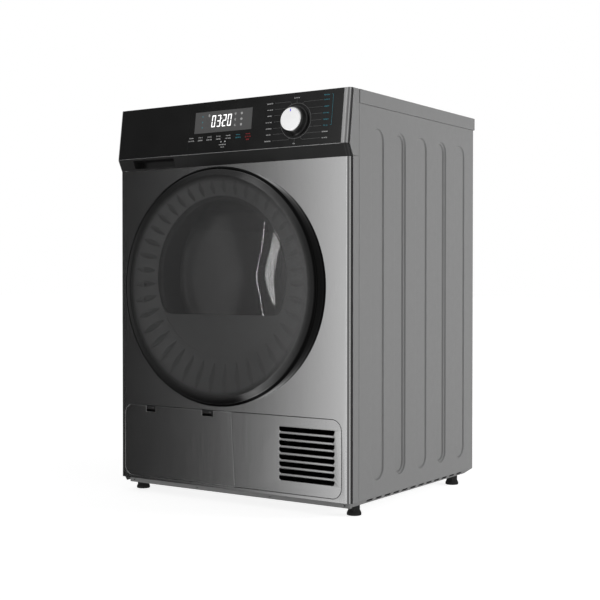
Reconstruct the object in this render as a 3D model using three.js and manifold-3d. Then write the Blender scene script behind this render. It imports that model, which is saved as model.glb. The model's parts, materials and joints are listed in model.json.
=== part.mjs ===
// A front-loading heat-pump clothes dryer, as separate pieces.
// Millimetres, +Z up, the front faces -Y, the origin is on the floor under the middle of the object.
// Inside this file the pieces are laid out with y = 0 on the front sheet; one group moves them all.
import * as THREE from 'three';
import { mergeVertices } from 'three/addons/utils/BufferGeometryUtils.js';
import Module from 'manifold-3d';

const wasm = await Module();
wasm.setup();

// ---------------------------------------------------------------- driving dimensions
const HALF_WIDTH = 298;
const HEIGHT = 845;
const SHEET = 1.2;
const DOOR_FACE_Y = -48;
const REAR_Y = 576;
const BASE_Z = 21;
const SHEET_BOTTOM = 31;

const PANEL_TOP = 710;
const PANEL_CORNER = 8.6;
const PANEL_WRAP = 8.8;
const SIDE_FRONT = 11.6;
const SIDE_BACK = 554;
const SIDE_TOP = 816.9;

const WORKTOP = { half: 300, front: 35.3, back: 559.2, bottom: 817.5, bevel: 1.5 };
const CONSOLE = { topY: 2.3, ridgeY: -12.3, ridgeZ: 734.5, capStep: 11.6, backY: 34.7, seamZ: 712.5 };
const GLASS = { left: -292, seam: -97.8, right: 283.6, thickness: 4 };
const GRIP = { left: -252, right: -138, bottom: 713.5, top: 730.6, depthY: 21 };

const DOOR = { z: 455, outer: 248, wall: 236, backY: -1.2 };
const MOUTH = { z: 476, panel: 196, tube: 186, rearY: 71 };
const DOOR_AXIS = { x: -238, y: -31 };
const HINGE_POCKET = { left: -252, right: -203, front: -39.6, halfHeight: 66 };

const LOWER = { left: -284.3, right: 278.3, bottom: 37, top: 194, corner: 22, gap: 0.8, thick: 3 };
const SPLIT = { topX: 9.7, bottomX: 18.3 };
const FLAP_AXIS = { y: 6, z: 61 };
const FLAP_EARS = [-215, -60];
// The tray's front wall steps back here, where the foot of the open flap swings in.
const TRAY_RECESS = { x1: 22, y1: 31.5, wall: 3.5 };
const LATCH_WINDOWS = [[-223.5, -198.8], [-68.3, -39.4]];
const GRILLE = { left: 130, right: 262, lowest: 67.5, pitch: 14.2, count: 8, height: 9 };

const DRUM = { radius: 280, wall: 1.2, front: 73, back: 512, seam: 88, segments: 48 };
const BELT = { y0: 300, y1: 310, thick: 2.5 };
const MOTOR = { x: 205, z: 150, pulley: 14 };
const IDLER = { x: 95, z: 140.7, radius: 18 };
const ROLLER = { x: 172.4, z: 229.8, radius: 20, y0: 92, y1: 112 };
const TANK = { left: -285, right: -107.6, bottom: 744.6, top: 806, front: 6, back: 455 };
const FEET = { x: 277, front: 51.5, back: 489.7 };
const DIAL = { x: 174.5, z: 786.3 };

// Pressed ribs of each side panel: front edge, back edge and depth.
const RIBS = [
  [81.8, 134.7, 3.5],
  [177.9, 227.8, 7.5],
  [269.7, 322.3, 3.5],
  [367.3, 415.7, 7.5],
  [456.7, 508.9, 3.5],
];
const RIB_BOTTOM = 62.5;
const RIB_TOP = 775.5;

// ---------------------------------------------------------------- materials
const finish = (color, roughness, metalness) =>
  new THREE.MeshStandardMaterial({ color, roughness, metalness });
const STEEL = finish(0x8c8c8c, 0.35, 1);
const PAINT = finish(0x7d7d7d, 0.5, 0.4);
const BLACK_GLOSS = finish(0x131313, 0.12, 0);
const BLACK_MATTE = finish(0x1b1b1b, 0.6, 0);
const SMOKED = finish(0x2a2a2c, 0.08, 0);
const GREY_PLASTIC = finish(0x3c3d3f, 0.4, 0);
const PALE_PLASTIC = finish(0xb9bcbd, 0.5, 0);
const WHITE_PLASTIC = finish(0xf2f2f2, 0.3, 0);
const ZINC = finish(0xa9adb0, 0.4, 1);
const RUBBER = finish(0x151515, 0.9, 0);
const GREEN_BOARD = finish(0x1f4a35, 0.6, 0);
const COPPER_FIN = finish(0xb7b9ba, 0.4, 1);

// ---------------------------------------------------------------- meshes and solids
// Returns the geometry with shared corners, no empty triangles and its faces pointing out.
function closed(geometry) {
  const source = geometry.clone();
  source.deleteAttribute('normal');
  source.deleteAttribute('uv');
  const merged = mergeVertices(source, 1e-4);
  const point = merged.getAttribute('position');
  const index = [];
  let volume = 0;
  const a = new THREE.Vector3();
  const b = new THREE.Vector3();
  const c = new THREE.Vector3();
  for (let i = 0; i < merged.index.count; i += 3) {
    const [p, q, r] = [0, 1, 2].map((k) => merged.index.getX(i + k));
    if (p === q || q === r || r === p) continue;
    index.push(p, q, r);
    a.fromBufferAttribute(point, p);
    b.fromBufferAttribute(point, q);
    c.fromBufferAttribute(point, r);
    volume += a.dot(b.clone().cross(c));
  }
  if (volume < 0) {
    for (let i = 0; i < index.length; i += 3) [index[i], index[i + 1]] = [index[i + 1], index[i]];
  }
  merged.setIndex(index);
  return merged;
}

function toSolid(shape) {
  if (!(shape instanceof THREE.BufferGeometry)) return shape;
  const geometry = closed(shape);
  const mesh = new wasm.Mesh({
    numProp: 3,
    vertProperties: new Float32Array(geometry.getAttribute('position').array),
    triVerts: new Uint32Array(geometry.index.array),
  });
  return new wasm.Manifold(mesh);
}

function toGeometry(shape) {
  if (shape instanceof THREE.BufferGeometry) return closed(shape);
  const mesh = shape.getMesh();
  const geometry = new THREE.BufferGeometry();
  const stride = mesh.numProp;
  const count = mesh.vertProperties.length / stride;
  const position = new Float32Array(count * 3);
  for (let i = 0; i < count; i += 1) {
    for (let k = 0; k < 3; k += 1) position[3 * i + k] = mesh.vertProperties[stride * i + k];
  }
  geometry.setAttribute('position', new THREE.BufferAttribute(position, 3));
  geometry.setIndex(Array.from(mesh.triVerts));
  return geometry;
}

const join = (...shapes) => shapes.map(toSolid).reduce((all, one) => all.add(one));
const cut = (base, ...tools) => tools.map(toSolid).reduce((left, one) => left.subtract(one), toSolid(base));

// The same shape on the other side of the x = 0 plane.
function mirrored(shape) {
  const geometry = toGeometry(shape).clone();
  geometry.scale(-1, 1, 1);
  return closed(geometry);
}

// ---------------------------------------------------------------- basic shapes
function box(x0, x1, y0, y1, z0, z1) {
  const geometry = new THREE.BoxGeometry(x1 - x0, y1 - y0, z1 - z0);
  return geometry.translate((x0 + x1) / 2, (y0 + y1) / 2, (z0 + z1) / 2);
}

function rodY(radius, y0, y1, x, z, segments = 32) {
  return new THREE.CylinderGeometry(radius, radius, y1 - y0, segments).translate(x, (y0 + y1) / 2, z);
}

function rodZ(radius, z0, z1, x, y, segments = 32) {
  const geometry = new THREE.CylinderGeometry(radius, radius, z1 - z0, segments);
  return geometry.rotateX(Math.PI / 2).translate(x, y, (z0 + z1) / 2);
}

function rodX(radius, x0, x1, y, z, segments = 16) {
  const geometry = new THREE.CylinderGeometry(radius, radius, x1 - x0, segments);
  return geometry.rotateZ(Math.PI / 2).translate((x0 + x1) / 2, y, z);
}

// A profile of [radius, y] points turned about the line through (x, z) along y.
function turned(profile, x, z, segments = 56) {
  const points = profile.map(([radius, y]) => new THREE.Vector2(radius, y));
  return new THREE.LatheGeometry(points, segments).translate(x, 0, z);
}

const ring = (profile, z, segments) => turned([...profile, profile[0]], 0, z, segments);

const BASIS = {
  x: new THREE.Matrix4().set(0, 0, 1, 0, 1, 0, 0, 0, 0, 1, 0, 0, 0, 0, 0, 1),
  y: new THREE.Matrix4().set(1, 0, 0, 0, 0, 0, -1, 0, 0, 1, 0, 0, 0, 0, 0, 1),
  z: new THREE.Matrix4(),
};

// An outline drawn across one axis and pushed along it: [y, z] along x, [x, z] along y, [x, y] along z.
function prism(axis, outline, from, to) {
  const shape = new THREE.Shape(outline.map(([u, v]) => new THREE.Vector2(u, v)));
  const geometry = new THREE.ExtrudeGeometry(shape, { depth: to - from, bevelEnabled: false });
  geometry.applyMatrix4(BASIS[axis]);
  const start = { x: [from, 0, 0], y: [0, to, 0], z: [0, 0, from] }[axis];
  return geometry.translate(...start);
}

function arc(cx, cy, radius, fromDeg, toDeg, steps) {
  return Array.from({ length: steps + 1 }, (_, i) => {
    const angle = THREE.MathUtils.degToRad(fromDeg + ((toDeg - fromDeg) * i) / steps);
    return [cx + radius * Math.cos(angle), cy + radius * Math.sin(angle)];
  });
}

function roundedRect(x0, x1, z0, z1, radius, steps = 6) {
  return [
    ...arc(x1 - radius, z0 + radius, radius, -90, 0, steps),
    ...arc(x1 - radius, z1 - radius, radius, 0, 90, steps),
    ...arc(x0 + radius, z1 - radius, radius, 90, 180, steps),
    ...arc(x0 + radius, z0 + radius, radius, 180, 270, steps),
  ];
}

// A closed skin through loops of 3-D points, each with the same number of points.
function loft(loops, capShape = null) {
  const count = loops[0].length;
  const points = loops.flat();
  const index = [];
  for (let k = 0; k + 1 < loops.length; k += 1) {
    for (let i = 0; i < count; i += 1) {
      const a = k * count + i;
      const b = k * count + ((i + 1) % count);
      index.push(a, b, b + count, a, b + count, a + count);
    }
  }
  const flat = capShape ?? loops[0].map(([x, y, z]) => [x, y, z]);
  const caps = THREE.ShapeUtils.triangulateShape(flat.map(([u, v]) => new THREE.Vector2(u, v)), []);
  const clockwise = THREE.ShapeUtils.isClockWise(flat.map(([u, v]) => new THREE.Vector2(u, v)));
  const last = (loops.length - 1) * count;
  for (const [p, q, r] of caps) {
    if (clockwise) index.push(p, q, r, last + p, last + r, last + q);
    else index.push(p, r, q, last + p, last + q, last + r);
  }
  const geometry = new THREE.BufferGeometry();
  geometry.setAttribute('position', new THREE.BufferAttribute(new Float32Array(points.flat()), 3));
  geometry.setIndex(index);
  return geometry;
}

// A ring-shaped skin through circles across y, each [radius, centre z, y]; it closes on the first.
function ringLoft(circles, segments = 48) {
  const points = [];
  for (const [radius, z, y] of circles) {
    for (const [px, pz] of arc(0, z, radius, 0, 360, segments).slice(0, segments)) points.push(px, y, pz);
  }
  const index = [];
  for (let k = 0; k < circles.length; k += 1) {
    const next = (k + 1) % circles.length;
    for (let i = 0; i < segments; i += 1) {
      const j = (i + 1) % segments;
      const [a, b] = [k * segments + i, k * segments + j];
      const [c, d] = [next * segments + j, next * segments + i];
      index.push(a, b, c, a, c, d);
    }
  }
  const geometry = new THREE.BufferGeometry();
  geometry.setAttribute('position', new THREE.BufferAttribute(new Float32Array(points), 3));
  geometry.setIndex(index);
  return geometry;
}

// ---------------------------------------------------------------- the assembly
const dryer = new THREE.Group();
const pieces = new THREE.Group();
pieces.position.y = -(DOOR_FACE_Y + REAR_Y) / 2;
dryer.add(pieces);

function add(name, shape, material) {
  const mesh = new THREE.Mesh(toGeometry(shape), material);
  mesh.name = name;
  pieces.add(mesh);
}

// ---------------------------------------------------------------- cabinet
// A rib's rim or floor: an upright oval with round ends, drawn in y and z at one x.
function ribLoop(y0, y1, inset, x) {
  const radius = (y1 - y0) / 2 - inset;
  const centre = (y0 + y1) / 2;
  const lift = (y1 - y0) / 2;
  const bottom = arc(centre, RIB_BOTTOM + lift, radius, 180, 360, 6);
  const top = arc(centre, RIB_TOP - lift, radius, 0, 180, 6);
  return [...bottom, ...top].map(([y, z]) => [x, y, z]);
}

function ribPan(y0, y1, depth) {
  const slope = depth * 0.9;
  const flat = ribLoop(y0, y1, 0, 0).map(([, y, z]) => [y, z]);
  const outside = loft([
    ribLoop(y0, y1, slope - SHEET, HALF_WIDTH - depth - SHEET),
    ribLoop(y0, y1, -SHEET, HALF_WIDTH - 0.5),
  ], flat);
  const inside = loft([
    ribLoop(y0, y1, slope, HALF_WIDTH - depth),
    ribLoop(y0, y1, 0, HALF_WIDTH + 0.2),
  ], flat);
  return { outside, inside };
}

function rightSidePanel() {
  const inner = HALF_WIDTH - SHEET;
  const section = [
    [HALF_WIDTH, SIDE_TOP], [inner, SIDE_TOP], [inner, SHEET_BOTTOM + 0.5],
    [289.8, BASE_Z + 0.8], [290.8, BASE_Z], [HALF_WIDTH, SHEET_BOTTOM],
  ];
  const pans = RIBS.map(([y0, y1, depth]) => ribPan(y0, y1, depth));
  let panel = join(prism('y', section, SIDE_FRONT, SIDE_BACK), ...pans.map((pan) => pan.outside));
  panel = cut(panel, ...pans.map((pan) => pan.inside));
  const rearCorner = [[523, 19], [560, 19], [560, 30.5], [524.6, BASE_Z]];
  const seam = box(HALF_WIDTH - 0.5, HALF_WIDTH + 1, 34.2, 35, BASE_Z, CONSOLE.seamZ);
  const slots = Array.from({ length: 12 }, (_, i) => {
    const y = 70 + i * 37;
    return box(285, 300, y, y + 25, 24, 28.6);
  });
  const consoleRoom = box(285, 300, 0, CONSOLE.backY + 0.3, CONSOLE.seamZ - 0.3, 830);
  return cut(panel, prism('x', rearCorner, 280, 300), seam, consoleRoom, ...slots);
}

function frontPanel() {
  const flat = HALF_WIDTH - PANEL_CORNER;
  const inner = PANEL_CORNER - SHEET;
  const outline = [
    [-HALF_WIDTH, PANEL_WRAP],
    ...arc(-flat, PANEL_CORNER, PANEL_CORNER, 180, 270, 6),
    ...arc(flat, PANEL_CORNER, PANEL_CORNER, 270, 360, 6),
    [HALF_WIDTH, PANEL_WRAP], [HALF_WIDTH - SHEET, PANEL_WRAP],
    ...arc(flat, PANEL_CORNER, inner, 360, 270, 6),
    ...arc(-flat, PANEL_CORNER, inner, 270, 180, 6),
    [-HALF_WIDTH + SHEET, PANEL_WRAP],
  ];
  const { left, right, bottom, top, corner, gap } = LOWER;
  const opening = roundedRect(left - gap, right + gap, bottom - gap, top + gap, corner + gap);
  return cut(
    prism('z', outline, SHEET_BOTTOM, PANEL_TOP),
    rodY(MOUTH.panel, -5, 8, 0, MOUTH.z, 60),
    prism('y', opening, -5, 6),
    box(205, 223, -5, 6, 440, 470),
  );
}

function frontBulkhead() {
  const plate = box(-296.4, 296.4, 13, 16, 62, 708);
  const lips = [-1, 1].map((side) => {
    const [x0, x1] = side < 0 ? [-296.4, -293] : [293, 296.4];
    return box(x0, x1, 9.3, 16, SHEET_BOTTOM + 0.5, 708);
  });
  const { tube, z, rearY } = MOUTH;
  const mouth = ring([[tube, 13], [tube, rearY], [tube + 3, rearY], [tube + 3, 13]], z, 48);
  const flapGap = box(-276, 272, 5, 30, 50, 191);
  const axles = [-1, 1].map((side) => rodY(5, 15, ROLLER.y1 + 2, side * ROLLER.x, ROLLER.z, 14));
  const body = cut(join(plate, ...lips), rodY(tube + 1, 5, 30, 0, z, 48), flapGap);
  return cut(
    join(body, mouth, ...axles),
    box(-82, 82, 24, 58, 270, 330),
    box(200, 229, 5, 30, 432, 478),
  );
}

function rearPanel() {
  const sheet = box(-296.4, 296.4, 552.5, SIDE_BACK, SHEET_BOTTOM + 0.5, SIDE_TOP);
  const holes = Array.from({ length: 6 }, (_, i) => {
    const angle = (Math.PI / 3) * (i + 0.5);
    return rodY(30, 540, 560, 140 * Math.cos(angle), MOUTH.z + 140 * Math.sin(angle), 16);
  });
  return cut(sheet, ...holes);
}

function rearDuctCover() {
  const profile = [
    [0, REAR_Y], [190, REAR_Y], [212, 561], [222, 557], [222, 554.3],
    [206, 554.3], [206, 558], [186, 573], [0, 573],
  ];
  return turned(profile, 0, MOUTH.z, 36);
}

function worktop() {
  const { half, front, back, bottom, bevel } = WORKTOP;
  const rect = (inset, z) => [
    [-half + inset, front + inset, z], [half - inset, front + inset, z],
    [half - inset, back - inset, z], [-half + inset, back - inset, z],
  ];
  return loft([rect(0, bottom), rect(0, HEIGHT - bevel), rect(bevel, HEIGHT)]);
}

// Each blade reaches forward over the swinging foot of the flap and holds one hinge pin.
function flapBlades() {
  const { y, z } = FLAP_AXIS;
  return FLAP_EARS.map((x) => {
    const blade = join(box(x + 9, x + 15, y, 35, z - 4.3, z + 6), rodX(4.3, x + 9, x + 15, y, z, 20));
    return cut(blade, rodX(2.3, x + 6, x + 18, y, z, 10));
  });
}

function baseTray() {
  const { x1, y1, wall } = TRAY_RECESS;
  const shell = cut(box(-288.8, 288.8, 14, 551, 31.5, 60), box(-285, 285, 18, 547, 35, 70));
  const setBack = box(-288.8, x1 + wall, y1, y1 + wall, 33, 60);
  const sideWall = box(x1, x1 + wall, 16, y1 + wall, 33, 60);
  const tray = join(cut(shell, box(-286, x1, 10, y1, 35, 70)), setBack, sideWall);
  const strip = join(box(-274, 296, 4, 11.2, BASE_Z, 30.7), box(-274, 286, 10, 30, BASE_Z, 32));
  const bosses = [];
  const bores = [];
  for (const x of [-FEET.x, FEET.x]) {
    for (const y of [FEET.front, FEET.back]) {
      bosses.push(rodZ(10, BASE_Z, 32, x, y, 12));
      bores.push(rodZ(4.5, 10, 40, x, y, 10));
    }
  }
  const pillar = box(IDLER.x - 14, IDLER.x + 14, 318, 326, 32, IDLER.z + 14);
  const idlerAxle = rodY(5, 292, 320, IDLER.x, IDLER.z, 14);
  const screws = [-262, -85, 105, 284].map((x) => rodY(1.8, 0, 8, x, 26, 8));
  return cut(join(tray, strip, ...bosses, ...flapBlades(), pillar, idlerAxle), ...bores, ...screws);
}

add('base_tray', baseTray(), PAINT);
add('right_side_panel', rightSidePanel(), PAINT);
add('left_side_panel', mirrored(rightSidePanel()), PAINT);
add('front_panel', frontPanel(), STEEL);
add('front_bulkhead', frontBulkhead(), BLACK_MATTE);
add('rear_panel', rearPanel(), ZINC);
add('rear_duct_cover', rearDuctCover(), ZINC);
add('worktop', worktop(), PAINT);

// ---------------------------------------------------------------- control console
const LEAN_SLOPE = (CONSOLE.topY - CONSOLE.ridgeY) / (HEIGHT - CONSOLE.ridgeZ);
const lean = (z) => CONSOLE.ridgeY + LEAN_SLOPE * (z - CONSOLE.ridgeZ);

function consoleHousing() {
  const { topY, ridgeY, ridgeZ, capStep, backY, seamZ } = CONSOLE;
  const cap = [
    [topY + capStep, HEIGHT], [ridgeY + capStep, ridgeZ], [capStep, seamZ], [backY, seamZ], [backY, HEIGHT],
  ];
  return join(
    prism('x', cap, 295.5, HALF_WIDTH),
    prism('x', cap, -HALF_WIDTH, -295.5),
    box(-HALF_WIDTH, HALF_WIDTH, topY + capStep, backY, 842.6, HEIGHT),
    box(-292, 292, 7, backY, 842.6, HEIGHT),
  );
}

function fasciaPlate(x0, x1) {
  const bottom = CONSOLE.ridgeZ + 0.3;
  const outline = [
    [lean(HEIGHT), HEIGHT], [lean(bottom), bottom],
    [lean(bottom) + GLASS.thickness, bottom], [lean(HEIGHT) + GLASS.thickness, HEIGHT],
  ];
  return prism('x', outline, x0, x1);
}

// The plan of a right-hand console edge: flat face, rounded corner and a short return.
function edgePlan(x0) {
  const flat = HALF_WIDTH - PANEL_CORNER;
  const turnedBack = THREE.MathUtils.radToDeg(Math.asin(Math.max(0, x0 - flat) / PANEL_CORNER));
  const start = x0 < flat ? [[x0, 0]] : [];
  return [
    ...start, ...arc(flat, PANEL_CORNER, PANEL_CORNER, 270 + turnedBack, 360, 6), [HALF_WIDTH, PANEL_WRAP],
    [294.5, PANEL_WRAP], [294.5, GLASS.thickness], [x0, GLASS.thickness],
  ];
}

const raised = (plan, y, z) => plan.map(([px, py]) => [px, py + y, z]);

function edgeStrip(x0) {
  const plan = edgePlan(x0);
  const bottom = CONSOLE.ridgeZ + 0.3;
  return loft([raised(plan, lean(bottom), bottom), raised(plan, lean(HEIGHT), HEIGHT)], plan);
}

function bevel(x0) {
  const plan = edgePlan(x0);
  const top = CONSOLE.ridgeZ;
  return loft([raised(plan, 0, PANEL_TOP + 0.4), raised(plan, CONSOLE.ridgeY, top)], plan);
}

function tankFrontBevel() {
  const { left, right, bottom, top, depthY } = GRIP;
  const scoop = box(left - 3, right + 3, -3, depthY + 3, bottom - 2.6, top + 2.6);
  const hollow = box(left, right, -20, depthY, bottom, top);
  return cut(join(mirrored(bevel(-GLASS.seam)), cut(scoop, aboveBevel())), hollow);
}

// Everything in front of the sloping face between the ridge and the front sheet.
function aboveBevel() {
  const { ridgeY, ridgeZ } = CONSOLE;
  const wedge = [
    [-30, ridgeZ + 5], [ridgeY, ridgeZ + 5], [ridgeY, ridgeZ], [0, PANEL_TOP + 0.4], [0, 700], [-30, 700],
  ];
  return prism('x', wedge, -400, 400);
}

const TILT = Math.atan2(CONSOLE.topY - CONSOLE.ridgeY, HEIGHT - CONSOLE.ridgeZ);

// A turned piece of the dial: [radius, height above the glass], square to the leaning glass.
function onDial(profile, segments = 40) {
  const geometry = turned(profile.map(([radius, height]) => [radius, -height]), 0, 0, segments);
  return geometry.rotateX(-TILT).translate(DIAL.x, lean(DIAL.z), DIAL.z);
}

function glassWithDialHole() {
  const hole = onDial([[0, -12], [5, -12], [5, 12], [0, 12]], 20);
  return cut(fasciaPlate(GLASS.seam + 0.3, GLASS.right), hole);
}

function dialBase() {
  return onDial([[0, -8], [4, -8], [4, 0.6], [31, 0.6], [31, 4], [26.5, 15], [22.5, 15.4], [0, 15.4]]);
}

const dialCap = () => onDial([[0, 15.8], [22.8, 15.8], [23.2, 19.5], [21.8, 21], [0, 21.4]]);

function waterTank() {
  const { left, right, bottom, top, front, back } = TANK;
  const wall = 2.2;
  const shell = cut(
    box(left, right, front, back, bottom, top),
    box(left + wall, right - wall, front + wall, back - wall, bottom + wall, top - wall),
  );
  return cut(shell, rodZ(14, top - 8, top + 5, (left + right) / 2, back - 40, 20));
}

function tankHousing() {
  const play = 1.3;
  const wall = 2.2;
  const { left, right, bottom, top, back } = TANK;
  const outer = box(left - play - wall, right + play + wall, 37, back + 15, bottom - play - wall, top + 7);
  return cut(outer, box(left - play, right + play, 30, back + 12.8, bottom - play, top + 4.8));
}

add('console_housing', consoleHousing(), PAINT);
add('fascia_glass', glassWithDialHole(), BLACK_GLOSS);
add('fascia_bevel', bevel(GLASS.seam + 0.3), BLACK_GLOSS);
add('fascia_strip_right', edgeStrip(GLASS.right + 0.4), STEEL);
add('fascia_strip_left', mirrored(edgeStrip(0.4 - GLASS.left)), STEEL);
add('control_board', box(-85, 240, 10, 13, 748, 835), GREEN_BOARD);
add('dial_base', dialBase(), BLACK_GLOSS);
add('dial_cap', dialCap(), WHITE_PLASTIC);
add('tank_front_glass', fasciaPlate(GLASS.left, GLASS.seam - 0.3), BLACK_GLOSS);
add('tank_front_bevel', tankFrontBevel(), BLACK_GLOSS);
add('water_tank', waterTank(), PALE_PLASTIC);
add('tank_housing', tankHousing(), GREY_PLASTIC);

// ---------------------------------------------------------------- door
function hingePocket() {
  const { left, right, front, halfHeight } = HINGE_POCKET;
  return box(left, right, front, 3, DOOR.z - halfHeight, DOOR.z + halfHeight);
}

function doorRing() {
  const { wall, backY, outer, z } = DOOR;
  const profile = [
    [244, backY], [outer, -36], [outer, -39], [245, -42.2], [242, -42.2], [242, -38.5], [wall, -38.5],
    [wall, backY],
  ];
  const gripHousing = box(222, 241, -33, -6, 412, 498);
  const gripHollow = box(226, 262, -30, -9, 418, 492);
  return cut(join(ring(profile, z, 60), gripHousing), gripHollow, hingePocket());
}

function doorCover() {
  const profile = [
    [0, DOOR_FACE_Y], [229.7, -47.4], [241.5, -42.6], [241.5, -39.2], [238, -39.2], [228, -43.6], [0, -44.2],
  ];
  return turned(profile, 0, DOOR.z, 60);
}

const CHORD_Z = 396.7;

function doorInnerFrame() {
  const dish = ringLoft([
    [234.5, DOOR.z, -38], [216, DOOR.z, -36.5], [183, MOUTH.z, -27], [167.5, MOUTH.z, -25],
    [167.5, MOUTH.z, -22.5], [183, MOUTH.z, -24], [216, DOOR.z, -33.5], [234.5, DOOR.z, -35],
  ]);
  const half = THREE.MathUtils.radToDeg(Math.acos((MOUTH.z - CHORD_Z) / 170));
  const web = prism('y', arc(0, MOUTH.z, 170, 270 - half, 270 + half, 20), -25, -22.5);
  const pocket = box(-250, -228, -45, 3, DOOR.z - HINGE_POCKET.halfHeight, DOOR.z + HINGE_POCKET.halfHeight);
  return cut(join(dish, web), pocket);
}

// The hook that the catch holds; it is moulded onto the back frame.
function doorStrike() {
  return join(box(210, 218, -6, 15, 449, 461), box(214, 219, 11, 15, 449, 461));
}

function doorBackFrame() {
  const body = ringLoft([
    [235, DOOR.z, -1.5], [187, MOUTH.z, -1.5], [187, MOUTH.z, 13],
    [175, MOUTH.z, 13], [175, MOUTH.z, -17], [235, DOOR.z, -17],
  ]);
  const gripRoom = box(221, 240, -34, -5, 411, 499);
  return join(cut(body, hingePocket(), gripRoom), doorStrike());
}

function doorGlassBowl() {
  const profile = [
    [0, 68], [60, 66], [120, 58], [150, 40], [160, 10], [163, -17.5], [172, -17.5], [172, -21.5],
    [158.5, -21.5], [156, 8], [146, 37], [117, 53.5], [58, 61.5], [0, 63.5],
  ];
  return turned(profile, 0, MOUTH.z, 36);
}

// The plan of one fixed hinge ear, from the mounting plate round the pin.
function earPlan() {
  const { x, y } = DOOR_AXIS;
  const round = arc(x, y, 7, 60, 360, 12);
  return [...round, [x + 20, -0.4], [x + 8, -0.4]];
}

function hingeBracket() {
  const { x, y } = DOOR_AXIS;
  const ears = [[393, 405], [505, 517]].map(([z0, z1]) => prism('z', earPlan(), z0, z1));
  const plate = box(-246, -208, -4, -0.4, 392, 518);
  return cut(join(plate, ...ears), rodZ(3.1, 380, 530, x, y, 16));
}

function hingeLeaf() {
  const { x, y } = DOOR_AXIS;
  return join(
    rodZ(6.6, 405.5, 504.5, x, y, 20),
    rodZ(3, 396, 514, x, y, 16),
    box(x, -205, -30.2, -26.8, 412, 498),
  );
}

function doorCatch() {
  return cut(box(203.5, 226, 2, 28, 436, 474), box(206.5, 222.5, -1, 25, 443, 467));
}

const sealProfile = [[188.4, 2], [195.4, 2], [195.4, 6], [192, 12.6], [188.4, 12.6]];

add('door_ring', doorRing(), BLACK_GLOSS);
add('door_cover', doorCover(), SMOKED);
add('door_inner_frame', doorInnerFrame(), GREY_PLASTIC);
add('door_back_frame', doorBackFrame(), GREY_PLASTIC);
add('door_glass_bowl', doorGlassBowl(), SMOKED);
add('door_hinge_bracket', hingeBracket(), ZINC);
add('door_hinge_leaf', hingeLeaf(), ZINC);
add('door_catch', doorCatch(), BLACK_MATTE);
add('door_seal', ring(sealProfile, MOUTH.z, 40), RUBBER);

// ---------------------------------------------------------------- service flap and air grille
// The flap and the grille share one rounded outline, parted by a slightly slanted line.
function lowerPlate(side) {
  const { left, right, bottom, top, corner, thick } = LOWER;
  const plate = prism('y', roundedRect(left, right, bottom + 0.5, top - 0.4, corner), 0, thick);
  const edge = side * 0.4;
  const far = side * 400;
  const away = [
    [SPLIT.bottomX + edge - (SPLIT.topX - SPLIT.bottomX) * 0.2, 5], [far, 5], [far, 230],
    [SPLIT.topX + edge + (SPLIT.topX - SPLIT.bottomX) * 0.23, 230],
  ];
  const kept = prism('y', side > 0 ? away : away.toReversed(), -5, 10);
  return toSolid(plate).intersect(toSolid(kept));
}

function serviceFlap() {
  const { y, z } = FLAP_AXIS;
  const ears = FLAP_EARS.map((x) => join(
    box(x - 4, x + 7, 2.5, y + 3.5, z - 3.5, z + 3.5),
    rodX(1.8, x + 5, x + 16, y, z, 10),
  ));
  const windows = LATCH_WINDOWS.map(([x0, x1]) => box(x0, x1, -3, 8, 180.5, 200));
  const bladeRoom = FLAP_EARS.map((x) => box(x + 7.6, x + 16.4, 1.2, 8, 30, z + 5.5));
  return join(cut(lowerPlate(-1), ...windows, ...bladeRoom), ...ears);
}

function flapLatch([x0, x1]) {
  return join(box(x0 + 1.5, x1 - 1.5, 1.6, 4, 186, 193.6), box(x0 + 4, x1 - 4, 0.3, 2, 187, 189.5));
}

function grillePanel() {
  const { left, right, lowest, pitch, count, height } = GRILLE;
  const slots = Array.from({ length: count }, (_, i) => {
    const z = lowest + i * pitch;
    return prism('y', roundedRect(left, right, z - height / 2, z + height / 2, height / 2 - 0.1, 3), -5, 10);
  });
  return cut(lowerPlate(1), ...slots);
}

add('service_flap', serviceFlap(), STEEL);
add('flap_latch_left', flapLatch(LATCH_WINDOWS[0]), BLACK_MATTE);
add('flap_latch_right', flapLatch(LATCH_WINDOWS[1]), BLACK_MATTE);
add('grille_panel', grillePanel(), STEEL);

// ---------------------------------------------------------------- drum, drive and rollers
// The drum is a rolled shell with a closed rear end, and a pressed front end that it meets at seam.
function drumShell() {
  const { radius, wall, back, seam, segments } = DRUM;
  const inner = radius - wall;
  const profile = [
    [0, 540], [12, 540], [12, back], [268, back], [radius, back - 12], [radius, seam],
    [inner, seam], [inner, back - 12.5], [267.5, back - wall], [0, back - wall],
  ];
  return turned(profile, 0, MOUTH.z, segments);
}

function drumFrontEnd() {
  const { radius, wall, front, seam, segments } = DRUM;
  const profile = [
    [radius, seam], [268, front + 2], [206, front], [206, front + wall],
    [267.5, front + 2 + wall], [radius - wall, seam],
  ];
  return ring(profile, MOUTH.z, segments);
}

function drumLifter(turn) {
  const section = [[-24, -276], [24, -276], [11, -238], [5, -234], [-5, -234], [-11, -238]];
  const bar = prism('y', section, 112, 480);
  return bar.rotateY(turn).translate(0, 0, MOUTH.z);
}

// A loop pulled round the drum and the motor pulley, drawn in x and z.
function beltOutline(offset) {
  const big = DRUM.radius + 0.6 + offset;
  const small = MOTOR.pulley + 0.5 + offset;
  const dx = MOTOR.x;
  const dz = MOTOR.z - MOUTH.z;
  const along = THREE.MathUtils.radToDeg(Math.atan2(dz, dx));
  const open = THREE.MathUtils.radToDeg(Math.acos((big - small) / Math.hypot(dx, dz)));
  return [
    ...arc(0, MOUTH.z, big, along + open, along + 360 - open, 44),
    ...arc(MOTOR.x, MOTOR.z, small, along - open, along + open, 6),
  ];
}

function driveBelt() {
  const outer = prism('y', beltOutline(BELT.thick), BELT.y0, BELT.y1);
  return cut(outer, prism('y', beltOutline(0), BELT.y0 - 5, BELT.y1 + 5));
}

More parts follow.
